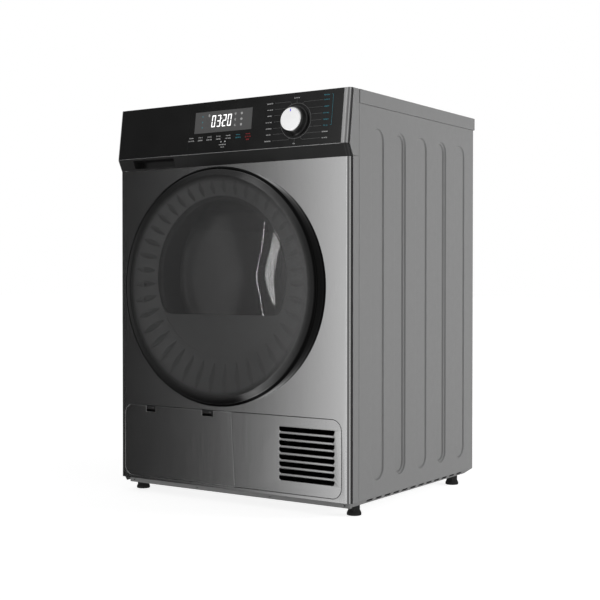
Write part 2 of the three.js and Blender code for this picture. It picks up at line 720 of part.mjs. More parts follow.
function motorBody() {
  const { x, z } = MOTOR;
  return cut(
    join(rodY(50, 330, 470, x, z, 36), box(x - 30, x + 30, 345, 455, 35.4, z - 20)),
    rodY(8.5, 320, 480, x, z, 24),
  );
}

function motorPulley() {
  const { x, z, pulley } = MOTOR;
  return join(rodY(pulley, 297, 313, x, z, 24), rodY(8, 300, 500, x, z, 20));
}

function blowerImpeller() {
  const { x, z } = MOTOR;
  const plate = rodY(54, 526, 530, x, z, 24);
  const hub = rodY(16, 496, 528, x, z, 16);
  const blades = Array.from({ length: 8 }, (_, i) => {
    const blade = box(12, 54, 492, 527, -1.2, 1.2);
    return blade.rotateY((Math.PI / 4) * i).translate(x, 0, z);
  });
  const rim = cut(rodY(55, 490, 494, x, z, 24), rodY(44, 480, 500, x, z, 24));
  return cut(join(plate, hub, ...blades, rim), rodY(8.4, 480, 512, x, z, 20));
}

function blowerHousing() {
  const { x, z } = MOTOR;
  const shell = box(x - 64, x + 64, 480, 546, 36, 216);
  const outlet = box(x - 60, x - 10, 484, 542, z, 220);
  return cut(shell, rodY(60, 484, 542, x, z, 40), outlet, rodY(34, 470, 490, x, z, 32));
}

const disc = (radius, bore, y0, y1, x, z) =>
  cut(rodY(radius, y0, y1, x, z, 24), rodY(bore, y0 - 5, y1 + 5, x, z, 14));

const bearingProfile = [[12.4, 524], [28, 524], [28, 544], [50, 548], [50, 552.2], [12.4, 552.2]];

add('drum_shell', drumShell(), STEEL);
add('drum_front_end', drumFrontEnd(), STEEL);
[0, 1, 2].forEach((i) => add(`drum_lifter_${i + 1}`, drumLifter((i * 2 * Math.PI) / 3), GREY_PLASTIC));
add('rear_bearing', ring(bearingProfile, MOUTH.z, 32), ZINC);
add('drive_belt', driveBelt(), RUBBER);
add('motor', motorBody(), ZINC);
add('motor_pulley', motorPulley(), STEEL);
add('blower_impeller', blowerImpeller(), GREY_PLASTIC);
add('blower_housing', blowerHousing(), GREY_PLASTIC);
add('idler_pulley', disc(IDLER.radius, 5.4, 295, 315, IDLER.x, IDLER.z), GREY_PLASTIC);
add('drum_roller_left', disc(ROLLER.radius, 5.4, ROLLER.y0, ROLLER.y1, -ROLLER.x, ROLLER.z), RUBBER);
add('drum_roller_right', disc(ROLLER.radius, 5.4, ROLLER.y0, ROLLER.y1, ROLLER.x, ROLLER.z), RUBBER);

// ---------------------------------------------------------------- lint filter and heat pump
function lintFilter() {
  const outline = [
    [-60, 205], [60, 205],
    ...arc(0, MOUTH.z, MOUTH.tube + 0.6, 294, 246, 8),
  ];
  return prism('y', outline, 27, 55);
}

function heatExchanger(y0, y1) {
  const block = box(-255, -15, y0, y1, 52, 178);
  const grooves = Array.from({ length: 11 }, (_, i) =>
    box(-243 + i * 21, -237 + i * 21, y0 - 1, y0 + 8, 58, 172));
  return cut(block, ...grooves);
}

function hxLever(x) {
  return join(rodY(9, 17.5, 23.6, x, 126, 24), box(x - 5, x + 5, 18, 22, 126, 158));
}

function compressor() {
  const profile = [[0, 36], [58, 36], [62, 46], [62, 140], [54, 158], [30, 168], [0, 170]];
  const points = profile.map(([radius, height]) => new THREE.Vector2(radius, height));
  return new THREE.LatheGeometry(points, 24).rotateX(Math.PI / 2).translate(-190, 430, 0);
}

function mainsInlet() {
  return cut(box(205, 262, 554.3, 568, 735, 792), rodZ(5, 725, 770, 233, 561, 20));
}

add('lint_filter', lintFilter(), PALE_PLASTIC);
add('evaporator', heatExchanger(36, 110), COPPER_FIN);
add('condenser', heatExchanger(118, 210), COPPER_FIN);
add('heat_exchanger_cover', box(-268, -2, 24, 30, 68, 188), GREY_PLASTIC);
add('cover_lever_left', hxLever(-238), PALE_PLASTIC);
add('cover_lever_right', hxLever(-32), PALE_PLASTIC);
add('compressor', compressor(), BLACK_MATTE);
add('condensate_pump', join(rodZ(26, 36, 78, -60, 300, 28), rodZ(7, 70, 96, -60, 312, 16)), GREY_PLASTIC);
add('mains_inlet', mainsInlet(), BLACK_MATTE);

// ---------------------------------------------------------------- levelling feet
function foot(x, y) {
  const pad = [[0, 0], [14.8, 0], [14.8, 3.4], [12.4, 8.5], [0, 8.5]];
  const points = pad.map(([radius, height]) => new THREE.Vector2(radius, height));
  const base = new THREE.LatheGeometry(points, 16).rotateX(Math.PI / 2).translate(x, y, 0);
  return join(base, rodZ(12, 7, BASE_Z - 0.4, x, y, 6), rodZ(4, 15, 56, x, y, 10));
}

add('foot_front_left', foot(-FEET.x, FEET.front), RUBBER);
add('foot_front_right', foot(FEET.x, FEET.front), RUBBER);
add('foot_rear_left', foot(-FEET.x, FEET.back), RUBBER);
add('foot_rear_right', foot(FEET.x, FEET.back), RUBBER);

export default dryer;
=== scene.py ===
import json
import math

import bmesh
import bpy
from mathutils import Matrix, Vector
from mathutils.geometry import tessellate_polygon

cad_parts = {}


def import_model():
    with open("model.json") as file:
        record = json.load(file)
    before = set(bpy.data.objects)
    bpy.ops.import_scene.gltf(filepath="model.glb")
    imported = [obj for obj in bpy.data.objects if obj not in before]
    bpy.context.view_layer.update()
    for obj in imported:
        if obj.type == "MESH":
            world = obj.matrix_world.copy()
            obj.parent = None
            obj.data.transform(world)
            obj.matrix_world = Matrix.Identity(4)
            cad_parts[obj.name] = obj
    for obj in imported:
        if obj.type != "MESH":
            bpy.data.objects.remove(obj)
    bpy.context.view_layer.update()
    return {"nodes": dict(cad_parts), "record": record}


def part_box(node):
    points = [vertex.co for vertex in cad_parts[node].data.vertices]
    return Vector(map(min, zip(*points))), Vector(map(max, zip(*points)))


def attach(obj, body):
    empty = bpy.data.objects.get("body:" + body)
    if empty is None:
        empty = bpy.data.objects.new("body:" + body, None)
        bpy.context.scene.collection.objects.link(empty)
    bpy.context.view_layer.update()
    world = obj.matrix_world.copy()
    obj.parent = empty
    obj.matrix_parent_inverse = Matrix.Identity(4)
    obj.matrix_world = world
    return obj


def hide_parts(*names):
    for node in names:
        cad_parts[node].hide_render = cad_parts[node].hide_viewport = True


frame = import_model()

# Sizes are in millimetres in the frame of the front sheet: x to the right, y inwards from the
# sheet's face, z up from the floor. world() turns such a point into the row frame in metres.
MM = 0.001
SHEET_LOW, SHEET_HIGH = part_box("front_panel")
FACE_Y = SHEET_LOW.y / MM
HALF = SHEET_HIGH.x / MM
SHEET_Z = (SHEET_LOW.z / MM, SHEET_HIGH.z / MM)


def world(x, y, z):
    return Vector((x * MM, (y + FACE_Y) * MM, z * MM))


def node_box(node):
    """A CAD node's box in the front sheet's frame: (x0, x1), (y0, y1), (z0, z1)."""
    low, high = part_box(node)
    shift = (0, FACE_Y, 0)
    return tuple((low[i] / MM - shift[i], high[i] / MM - shift[i]) for i in range(3))


# ------------------------------------------------------------------ camera
CAMERA_AT = (1.4884, -2.2427, 0.4649)
CAMERA_YAW = 34.64
CAMERA_PITCH = -0.87
CAMERA_LENS = 71.03
CAMERA_SHIFT = 0.0411


def make_camera():
    data = bpy.data.cameras.new("camera")
    data.lens = CAMERA_LENS
    data.sensor_width = 36.0
    data.shift_x = CAMERA_SHIFT
    data.clip_end = 60.0
    camera = bpy.data.objects.new("camera", data)
    camera.location = CAMERA_AT
    camera.rotation_euler = (math.radians(90 + CAMERA_PITCH), 0, math.radians(CAMERA_YAW))
    bpy.context.scene.collection.objects.link(camera)
    bpy.context.scene.camera = camera


# ------------------------------------------------------------------ studio
# Brightness of the studio round the object: degrees from straight in front, + to the right.
STUDIO = [
    (-180, 0.04), (-140, 0.12), (-100, 0.35), (-78, 0.08), (-62, 0.02), (-43, 0.01), (-38, 0.03), (-35, 0.14),
    (-30, 1.05), (-24.5, 1.45), (-16, 0.80), (-8, 0.45), (8, 0.22), (40, 0.18), (60, 0.45), (69, 0.95),
    (78, 0.80), (88, 0.15), (110, 0.06), (150, 0.04), (180, 0.04),
]
STUDIO_TOP = 0.50
STUDIO_PEAK = 1.45
SIDE_LIGHT = {"at": (2.9, 1.5, 0.55), "towards": (0.3, 0.05, 0.45), "size": (1.5, 2.0), "watts": 105}
STREAK_LIGHTS = [
    {"at": (-1.80, -1.685, 0.36), "towards": (0.05, -0.2, 0.47), "size": (0.10, 0.76), "watts": 4.2},
    {"at": (-1.690, -1.819, 0.52), "towards": (0.05, -0.2, 0.47), "size": (0.012, 1.60), "watts": 2.6},
]


def add_node(tree, kind, sockets, **settings):
    """Adds a shader node. sockets gives inputs, each a value or another node's output."""
    node = tree.nodes.new("ShaderNode" + kind)
    for name, value in settings.items():
        setattr(node, name, value)
    for socket, value in sockets.items():
        if isinstance(value, bpy.types.NodeSocket):
            tree.links.new(value, node.inputs[socket])
        else:
            node.inputs[socket].default_value = value
    return node


def grey(value):
    return (value, value, value, 1)


def make_studio():
    """The camera sees plain white; everything else sees the STUDIO brightness ramp."""
    studio = bpy.data.worlds.new("studio")
    bpy.context.scene.world = studio
    studio.use_nodes = True
    tree = studio.node_tree
    tree.nodes.clear()
    direction = add_node(tree, "TexCoord", {}).outputs["Generated"]
    axes = add_node(tree, "SeparateXYZ", {0: direction}).outputs
    forward = add_node(tree, "Math", {0: axes["Y"], 1: -1.0}, operation="MULTIPLY")
    angle = add_node(tree, "Math", {0: axes["X"], 1: forward.outputs[0]}, operation="ARCTAN2")
    turn = add_node(
        tree, "Math", {0: angle.outputs[0], 1: 1 / (2 * math.pi), 2: 0.5}, operation="MULTIPLY_ADD")
    ramp = add_node(tree, "ValToRGB", {0: turn.outputs[0]})
    ramp.color_ramp.interpolation = "EASE"
    stops = ramp.color_ramp.elements
    while len(stops) > 1:
        stops.remove(stops[0])
    for i, (degrees, value) in enumerate(STUDIO):
        stop = stops[0] if i == 0 else stops.new((degrees + 180) / 360)
        stop.position = (degrees + 180) / 360
        stop.color = grey(value / STUDIO_PEAK)
    height = add_node(tree, "MapRange", {"From Min": 0.35, "From Max": 0.85, "Value": axes["Z"]},
                      interpolation_type="SMOOTHSTEP")
    mix = add_node(
        tree, "Mix", {"Factor": height.outputs[0], "A": ramp.outputs[0], "B": grey(STUDIO_TOP / STUDIO_PEAK)},
        data_type="RGBA")
    light = add_node(tree, "Background", {"Color": mix.outputs["Result"], "Strength": STUDIO_PEAK})
    backdrop = add_node(tree, "Background", {"Color": (1, 1, 1, 1)})
    seen = add_node(tree, "LightPath", {}).outputs["Is Camera Ray"]
    choose = add_node(tree, "MixShader", {0: seen, 1: light.outputs[0], 2: backdrop.outputs[0]})
    add_node(tree, "OutputWorld", {"Surface": choose.outputs[0]})
    bpy.context.scene.view_settings.view_transform = "Standard"


def make_floor():
    size = 30.0
    mesh = bpy.data.meshes.new("floor")
    corners = [(-size, -size, 0), (size, -size, 0), (size, size, 0), (-size, size, 0)]
    mesh.from_pydata(corners, [], [(0, 1, 2, 3)])
    floor = bpy.data.objects.new("floor", mesh)
    floor.location.z = -0.0005
    bpy.context.scene.collection.objects.link(floor)
    material = bpy.data.materials.new("pale_floor")
    material.use_nodes = True
    tree = material.node_tree
    surface = tree.nodes["Principled BSDF"]
    surface.inputs["Base Color"].default_value = (0.5, 0.5, 0.5, 1)
    surface.inputs["Roughness"].default_value = 1.0
    surface.inputs["Specular IOR Level"].default_value = 0.0
    surface.inputs["Emission Color"].default_value = (1, 1, 1, 1)
    surface.inputs["Emission Strength"].default_value = 0.82
    floor.data.materials.append(material)
    floor.visible_glossy = False


def softbox(name, at, towards, size, watts):
    data = bpy.data.lights.new(name, "AREA")
    data.shape = "RECTANGLE"
    data.size, data.size_y = size
    data.energy = watts
    light = bpy.data.objects.new(name, data)
    light.location = at
    light.rotation_euler = (Vector(at) - Vector(towards)).to_track_quat("Z", "Y").to_euler()
    bpy.context.scene.collection.objects.link(light)
    return light


def light_only(light, *objects):
    """Keeps a lamp's light to the given objects."""
    receivers = bpy.data.collections.new(light.name + "_receivers")
    for obj in objects:
        receivers.objects.link(obj)
    light.light_linking.receiver_collection = receivers


make_camera()
make_studio()
make_floor()
softbox("side_light", **SIDE_LIGHT).visible_glossy = False


# ------------------------------------------------------------------ materials
def surface(name, colour, roughness, metallic=0.0, **extra):
    """A Principled material; extra names other sockets of the shader."""
    material = bpy.data.materials.new(name)
    material.use_nodes = True
    shader = material.node_tree.nodes["Principled BSDF"]
    rgb = (colour,) * 3 if isinstance(colour, float) else tuple(colour)
    shader.inputs["Base Color"].default_value = rgb + (1,)
    shader.inputs["Roughness"].default_value = roughness
    shader.inputs["Metallic"].default_value = metallic
    for socket, value in extra.items():
        shader.inputs[socket.replace("_", " ")].default_value = value
    return material


def noise(material, scale, stretch=(1, 1, 1), detail=3.0, seed=0.0):
    """A noise value in the material's own object coordinates, per metre times scale."""
    tree = material.node_tree
    where = add_node(tree, "TexCoord", {}).outputs["Object"]
    mapping = add_node(
        tree, "Mapping", {"Scale": stretch, "Location": (seed, seed, seed), "Vector": where})
    texture = add_node(
        tree, "TexNoise", {"Scale": scale, "Detail": detail, "Vector": mapping.outputs[0]})
    return texture.outputs["Fac"]


def ranged(material, value, low, high):
    """Spreads a noise value's usual range of 0.3 to 0.7 over low to high."""
    sockets = {"From Min": 0.3, "From Max": 0.7, "To Min": low, "To Max": high, "Value": value}
    return add_node(material.node_tree, "MapRange", sockets).outputs[0]


def vary_roughness(material, value, low, high):
    shader = material.node_tree.nodes["Principled BSDF"]
    material.node_tree.links.new(ranged(material, value, low, high), shader.inputs["Roughness"])


def mix_base_colour(material, factor, first, second):
    """Runs the base colour from first to second as factor goes from 0 to 1."""
    tree = material.node_tree
    mix = add_node(tree, "Mix", {"Factor": factor, "A": first, "B": second}, data_type="RGBA")
    tree.links.new(mix.outputs["Result"], tree.nodes["Principled BSDF"].inputs["Base Color"])


def vary_colour(material, value, amount):
    """Lightens and darkens the base colour by up to amount of itself."""
    base = tuple(material.node_tree.nodes["Principled BSDF"].inputs["Base Color"].default_value)[:3]
    darker = tuple(c * (1 - amount) for c in base) + (1,)
    lighter = tuple(min(1, c * (1 + amount)) for c in base) + (1,)
    mix_base_colour(material, ranged(material, value, 0.0, 1.0), darker, lighter)


def bump(material, value, height_mm):
    tree = material.node_tree
    node = add_node(tree, "Bump", {"Distance": height_mm * MM, "Strength": 1.0, "Height": value})
    tree.links.new(node.outputs[0], tree.nodes["Principled BSDF"].inputs["Normal"])


def moulded(name, colour, roughness, grain=0.02, **extra):
    """Moulded plastic: fine grain, slightly uneven gloss and tone."""
    material = surface(name, colour, roughness, **extra)
    bump(material, noise(material, 900, detail=2), grain)
    vary_roughness(material, noise(material, 35), roughness * 0.88, min(1, roughness * 1.14))
    vary_colour(material, noise(material, 18, seed=3.0), 0.05)
    return material


def brushed(name, colour, low, high, stretch, **extra):
    """Metal with a fine brushed grain; the grain runs along the axis with the small stretch."""
    material = surface(name, colour, (low + high) / 2, 1.0, **extra)
    grain = noise(material, 260, stretch=stretch, detail=4)
    vary_roughness(material, grain, low, high)
    vary_colour(material, noise(material, 700, stretch=stretch, seed=5.0), 0.02)
    bump(material, grain, 0.0008)
    return material


def painted(name, colour, roughness):
    """Powder-coated sheet: orange-peel ripple, tiny speckle and faint cloudiness."""
    material = surface(name, colour, roughness, 0.25)
    bump(material, noise(material, 420, detail=2), 0.012)
    vary_roughness(material, noise(material, 60), roughness * 0.9, roughness * 1.12)
    vary_colour(material, noise(material, 900, seed=2.0), 0.035)
    return material


PANEL_METAL = brushed("panel_metal", 0.58, 0.15, 0.17, (1, 1, 0.06))
SIDE_PAINT = painted("side_paint", 0.235, 0.42)
BASE_PAINT = painted("base_paint", 0.20, 0.5)
GLOSS_BLACK = surface("gloss_black", 0.002, 0.12, Specular_IOR_Level=0.08)
vary_roughness(GLOSS_BLACK, noise(GLOSS_BLACK, 30), 0.07, 0.12)
FASCIA_BLACK = surface("fascia_black", 0.014, 0.16)
vary_roughness(FASCIA_BLACK, noise(FASCIA_BLACK, 25), 0.14, 0.2)
BEVEL_BLACK = moulded("bevel_black", 0.016, 0.34, 0.006)
STRIP_METAL = brushed("strip_metal", 0.55, 0.28, 0.36, (1, 1, 0.04))
# The light strip on the fascia's lower edge: painted highlight.
EDGE_HIGHLIGHT_METAL = brushed("edge_highlight_metal", 0.72, 0.3, 0.4, (0.05, 1, 1))


def paint_shade_towards_rim(material, centre_z, start, end):
    """Painted shade: past the start radius the cover turns black and opaque by the end radius, standing in
    for the shade the ring throws on it.
    """
    tree = material.node_tree
    shader = tree.nodes["Principled BSDF"]
    where = add_node(tree, "TexCoord", {}).outputs["Object"]
    flat = add_node(tree, "VectorMath", {0: where, 1: (1, 0, 1)}, operation="MULTIPLY")
    radius = add_node(
        tree, "VectorMath", {0: flat.outputs[0], 1: (0, 0, centre_z * MM)}, operation="DISTANCE")
    sockets = {
        "From Min": start * MM, "From Max": end * MM, "To Min": shader.inputs["Alpha"].default_value,
        "Value": radius.outputs["Value"],
    }
    rim_shade = add_node(tree, "MapRange", sockets, interpolation_type="SMOOTHSTEP").outputs[0]
    tree.links.new(rim_shade, shader.inputs["Alpha"])
    clear = tuple(shader.inputs["Base Color"].default_value)
    mix_base_colour(material, rim_shade, clear, grey(0.004))


SMOKED = surface("smoked_cover", 0.085, 0.06, Alpha=0.42, Specular_IOR_Level=1.0)
vary_roughness(SMOKED, noise(SMOKED, 12), 0.04, 0.07)
# Painted shade: the cover darkens to opaque black towards its rim, where the ring shades it.
paint_shade_towards_rim(SMOKED, sum(node_box("door_cover")[2]) / 2, 214, 240)
BOWL_GLASS = surface("bowl_glass", 0.24, 0.02, Alpha=0.35, Coat_Weight=1.0, Coat_Roughness=0.01)
vary_roughness(BOWL_GLASS, noise(BOWL_GLASS, 12), 0.015, 0.03)
INNER_GREY = moulded("inner_grey", 0.25, 0.34, 0.004)
DARK_PLASTIC = moulded("dark_plastic", 0.03, 0.5)
BLACK_PLASTIC = moulded("black_plastic", 0.012, 0.55)
# Painted light: the dial's white cap glows a little, so it reads brighter than the lamps make it.
DIAL_WHITE_GLOWING = moulded("dial_white", 0.93, 0.3, 0.004, Emission_Color=(1, 1, 1, 1), Emission_Strength=0.22)
DIAL_BLACK = surface("dial_black", 0.010, 0.14, Coat_Weight=0.4)
vary_roughness(DIAL_BLACK, noise(DIAL_BLACK, 60), 0.1, 0.2)
CHROME = brushed("satin_chrome", 0.62, 0.16, 0.24, (1, 1, 1))
RUBBER = moulded("rubber", 0.012, 0.75, 0.05)
ZINC = brushed("galvanised", 0.46, 0.4, 0.55, (1, 1, 0.3))
DUCT_GREY = moulded("duct_grey", 0.30, 0.5)
DRUM_STEEL = brushed("drum_steel", 0.45, 0.3, 0.4, (1, 1, 1))
GREY_PLASTIC = moulded("grey_plastic", 0.14, 0.5)
PALE_PLASTIC = moulded("pale_plastic", 0.62, 0.45)
BOARD_GREEN = moulded("board_green", (0.012, 0.075, 0.035), 0.55)
FIN_METAL = brushed("fin_metal", 0.6, 0.35, 0.5, (1, 1, 0.1))
MOTOR_METAL = brushed("motor_metal", 0.35, 0.4, 0.6, (1, 1, 1))
# Painted light: the white print glows a little.
PRINT_WHITE_GLOWING = surface("print_white_glowing", 0.62, 0.5, Emission_Color=(1, 1, 1, 1), Emission_Strength=0.10)
PRINT_GREY = surface("print_grey", 0.16, 0.5)
PRINT_TEAL = surface("print_teal", (0.05, 0.33, 0.42), 0.5)
PRINT_RED = surface("print_red", (0.55, 0.03, 0.03), 0.5)
PRINT_BLUE = surface("print_blue", (0.20, 0.16, 0.95), 0.4)
DISPLAY_GREY = surface("display_grey", 0.105, 0.3)
vary_roughness(DISPLAY_GREY, noise(DISPLAY_GREY, 40), 0.26, 0.34)
DIGIT_WHITE = surface("digit_white", 0.9, 0.4, Emission_Color=(1, 1, 1, 1), Emission_Strength=0.9)
for printed in (PRINT_WHITE_GLOWING, PRINT_GREY, PRINT_TEAL, PRINT_RED, PRINT_BLUE, DIGIT_WHITE):
    vary_colour(printed, noise(printed, 600), 0.06)


# ------------------------------------------------------------------ shapes
def arc(cx, cy, radius, start, end, steps):
    """Points on an arc, degrees, both ends included."""
    out = []
    for i in range(steps + 1):
        t = math.radians(start + (end - start) * i / steps)
        out.append((cx + radius * math.cos(t), cy + radius * math.sin(t)))
    return out


def rounded_rect(x0, x1, z0, z1, radius, steps=8):
    corners = [(x1, z0, 1, -1, -90), (x1, z1, 1, 1, 0), (x0, z1, -1, 1, 90), (x0, z0, -1, -1, 180)]
    loop = []
    for x, z, sx, sz, start in corners:
        loop += arc(x - sx * radius, z - sz * radius, radius, start, start + 90, steps)
    return loop


def circle(cx, cy, radius, steps=96):
    return arc(cx, cy, radius, 0, 360 - 360 / steps, steps - 1)


def stadium(u0, u1, v0, v1, steps=12):
    """An oval with round ends, longer in v."""
    radius = (u1 - u0) / 2
    centre = (u0 + u1) / 2
    return arc(centre, v0 + radius, radius, 180, 360, steps) + arc(centre, v1 - radius, radius, 0, 180, steps)


def inset(loop, distance):
    """The loop moved inwards by distance, square to its sides; a negative distance moves it outwards."""
    area = sum(a[0] * b[1] - b[0] * a[1] for a, b in zip(loop, loop[1:] + loop[:1]))
    side = 1 if area > 0 else -1
    out = []
    for i, here in enumerate(loop):
        before, after = Vector(loop[i - 1]), Vector(loop[(i + 1) % len(loop)])
        here = Vector(here)
        first = (here - before).normalized()
        second = (after - here).normalized()
        n1 = Vector((-first.y, first.x)) * side
        n2 = Vector((-second.y, second.x)) * side
        middle = n1 + n2
        middle = n1 if middle.length < 1e-6 else middle.normalized()
        scale = distance / max(0.35, middle.dot(n1))
        out.append(tuple(here + middle * scale))
    return out


class Build:
    """Collects points and faces in the front sheet's frame, then makes one piece of them."""

    def __init__(self):
        self.points = []
        self.faces = []

    def add(self, points, faces):
        start = len(self.points)
        self.points += [tuple(p) for p in points]
        self.faces += [tuple(start + i for i in face) for face in faces]

    def skin(self, loops, close=False):
        """A tube of quads through loops with the same number of points."""
        count = len(loops[0])
        rows = len(loops) if close else len(loops) - 1
        faces = []
        for k in range(rows):
            a, b = k * count, ((k + 1) % len(loops)) * count
            for i in range(count):
                j = (i + 1) % count
                faces.append((a + i, a + j, b + j, b + i))
        self.add([p for loop in loops for p in loop], faces)

    def strip(self, lines):
        """Quads between open lines with the same number of points."""
        count = len(lines[0])
        faces = []
        for k in range(len(lines) - 1):
            for i in range(count - 1):
                a = k * count + i
                faces.append((a, a + 1, a + 1 + count, a + count))
        self.add([p for line in lines for p in line], faces)

    def flat(self, loops, place):
        """A flat face with holes: the first 2-D loop is its outline."""
        points = [place(u, v) for loop in loops for u, v in loop]
        rings = [[Vector((u, v, 0)) for u, v in loop] for loop in loops]
        self.add(points, tessellate_polygon(rings))

    def plate(self, outline, holes, place, thickness, edge=0.5, hole_edge=None, steps=3):
        """A plate with rounded front edges. place(u, v, depth) gives a point; depth 0 is its face."""
        hole_edge = edge if hole_edge is None else hole_edge
        loops = [(outline, edge)] + [(hole, -hole_edge) for hole in holes]
        front = [inset(loop, size) if size else loop for loop, size in loops]
        self.flat(front, lambda u, v: place(u, v, 0))
        self.flat([loop for loop, _ in loops], lambda u, v: place(u, v, thickness))
        for loop, size in loops:
            rings = []
            for k in range(steps + 1):
                t = math.radians(90 * k / steps)
                moved = inset(loop, size * (1 - math.sin(t))) if size else loop
                rings.append([place(u, v, abs(size) * (1 - math.cos(t))) for u, v in moved])
            rings.append([place(u, v, thickness) for u, v in loop])
            self.skin(rings)

    def turned(self, profile, place, steps=128):
        """A profile of (radius, height) turned all round; place(x, z, height) gives a point."""
        loops = []
        for radius, height in profile:
            loops.append([place(u, v, height) for u, v in circle(0, 0, max(radius, 1e-4), steps)])
        self.skin(loops)

    def box(self, x0, x1, y0, y1, z0, z1, edge=0.6):
        """A box with bevelled edges."""
        bm = bmesh.new()
        size = Vector((x1 - x0, y1 - y0, z1 - z0))
        centre = Vector(((x0 + x1) / 2, (y0 + y1) / 2, (z0 + z1) / 2))
        bmesh.ops.create_cube(bm, size=1, matrix=Matrix.Translation(centre) @ Matrix.Diagonal((*size, 1)))
        if edge:
            bmesh.ops.bevel(bm, geom=list(bm.edges), offset=edge, segments=3, profile=0.5, affect="EDGES")
        bm.verts.index_update()
        self.add([tuple(v.co) for v in bm.verts], [tuple(v.index for v in f.verts) for f in bm.faces])
        bm.free()

    def piece(self, name, body, material, replaces=(), slot=None, sharp=38, solid=0, weighted=True):
        bm = bmesh.new()
        verts = [bm.verts.new(world(*p)) for p in self.points]
        for face in self.faces:
            if len(set(face)) > 2:
                try:
                    bm.faces.new([verts[i] for i in face])
                except ValueError:
                    pass
        bmesh.ops.remove_doubles(bm, verts=bm.verts, dist=2e-6)
        bmesh.ops.dissolve_degenerate(bm, edges=bm.edges, dist=1e-6)
        bmesh.ops.recalc_face_normals(bm, faces=bm.faces)
        limit = math.radians(sharp)
        for edge in bm.edges:
            edge.smooth = len(edge.link_faces) == 2 and edge.calc_face_angle() < limit
        for face in bm.faces:
            face.smooth = True
        mesh = bpy.data.meshes.new(name)
        bm.to_mesh(mesh)
        bm.free()
        obj = bpy.data.objects.new(name, mesh)
        bpy.context.scene.collection.objects.link(obj)
        mesh.materials.append(material)
        if solid:
            modifier = obj.modifiers.new("sheet", "SOLIDIFY")
            modifier.thickness = abs(solid) * MM
            modifier.offset = -1 if solid > 0 else 1
        if weighted:
            modifier = obj.modifiers.new("normals", "WEIGHTED_NORMAL")
            modifier.keep_sharp = True
            modifier.weight = 80
        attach(obj, body)
        if replaces:
            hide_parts(*([replaces] if isinstance(replaces, str) else replaces))
        return obj


def facing_front(u, v, depth=0):
    return (u, depth, v)


def facing_side(side):
    return lambda u, v, depth=0: (side * (HALF - depth), u, v)


BODY_OF = {n: body for body, nodes in frame["record"]["behaviour"]["bodies"].items() for n in nodes}


def refine(node, material, slot, edge=0.7, sharp=32):
    """A finer copy of a CAD node: flat regions merged, curved walls smooth, edges rounded."""
    bm = bmesh.new()
    bm.from_mesh(frame["nodes"][node].data)
    bmesh.ops.remove_doubles(bm, verts=bm.verts, dist=1e-6)
    bmesh.ops.dissolve_limit(bm, angle_limit=math.radians(0.5), verts=bm.verts, edges=bm.edges)
    for corner in bm.edges:
        corner.smooth = len(corner.link_faces) == 2 and corner.calc_face_angle() < math.radians(sharp)
    for face in bm.faces:
        face.smooth = True
    mesh = bpy.data.meshes.new(node + "_fine")
    bm.to_mesh(mesh)
    bm.free()
    mesh.materials.clear()
    mesh.materials.append(material)
    obj = bpy.data.objects.new(node + "_fine", mesh)
    bpy.context.scene.collection.objects.link(obj)
    rounding = obj.modifiers.new("rounding", "BEVEL")
    rounding.width = edge * MM
    rounding.segments = 2
    rounding.limit_method = "ANGLE"
    rounding.angle_limit = math.radians(sharp)
    rounding.miter_outer = "MITER_ARC"
    normals = obj.modifiers.new("normals", "WEIGHTED_NORMAL")
    normals.keep_sharp = True
    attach(obj, BODY_OF[node])
    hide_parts(node)
    return obj


def dress(node, material):
    """Gives a kept CAD node a procedural material."""
    obj = frame["nodes"][node]
    obj.data.materials.clear()
    obj.data.materials.append(material)


# ------------------------------------------------------------------ front sheet
DOOR_Z = (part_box("door_ring")[0].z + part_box("door_ring")[1].z) / 2 / MM
MOUTH_Z = (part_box("drum_shell")[0].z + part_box("drum_shell")[1].z) / 2 / MM
MOUTH_RADIUS = 196
CORNER = 8.6
WRAP = node_box("front_panel")[1][1]
FLAP_X = node_box("service_flap")[0]
GRILLE_X = node_box("grille_panel")[0]
LOWER_Z = node_box("grille_panel")[2]
LOWER_CORNER = 22
GAP = 0.8
HOLE_EDGE = 0.5
CATCH_HOLE = (205, 223, 440, 470)


def lower_outline(grow, steps=12):
    """The rounded outline that the flap and the grille share."""
    return rounded_rect(
        FLAP_X[0] - grow, GRILLE_X[1] + grow, LOWER_Z[0] - grow, LOWER_Z[1] + grow,
        LOWER_CORNER + grow, steps,
    )


def front_sheet():
    build = Build()
    flat = HALF - CORNER
    z0, z1 = SHEET_Z
    outline = [(-flat, z0), (flat, z0), (flat, z1), (-flat, z1)]
    holes = [circle(0, MOUTH_Z, MOUTH_RADIUS, 128), lower_outline(GAP), rounded_rect(*CATCH_HOLE, 2, 4)]
    rims = [inset(hole, -HOLE_EDGE) for hole in holes]
    build.flat([outline] + rims, facing_front)
    for hole in holes:
        rings = []
        for k in range(4):
            t = math.radians(30 * k)
            grown = inset(hole, -HOLE_EDGE * (1 - math.sin(t)))
            rings.append([(u, HOLE_EDGE * (1 - math.cos(t)), v) for u, v in grown])
        build.skin(rings)
    for side in (-1, 1):
        plan = arc(side * flat, CORNER, CORNER, 270, 270 + side * 90, 12) + [(side * HALF, WRAP)]
        build.strip([[(x, y, z) for x, y in plan] for z in (z0, z1)])
    return build.piece("front_sheet", "cabinet", PANEL_METAL, "front_panel", "brushed_panel", solid=1.1)


# ------------------------------------------------------------------ side panels
_, SIDE_Y, SIDE_Z = node_box("right_side_panel")
SHALLOW, DEEP = 3.6, 7.4
RIBS = [
    (81.8, 134.7, SHALLOW), (177.9, 227.8, DEEP), (269.7, 322.3, SHALLOW), (367.3, 415.7, DEEP),
    (456.7, 508.9, SHALLOW),
]
RIB_Z = (62.5, 775.5)
SEAM_Y = (34.2, 35.0)
FLANGE_IN = 7.2
FLANGE_FALL = 9.8
SKIRT_Z = 31.0
SIDE_SLOTS, SIDE_SLOT_PITCH = 12, 37
CONSOLE_SEAM_Z = 712.2
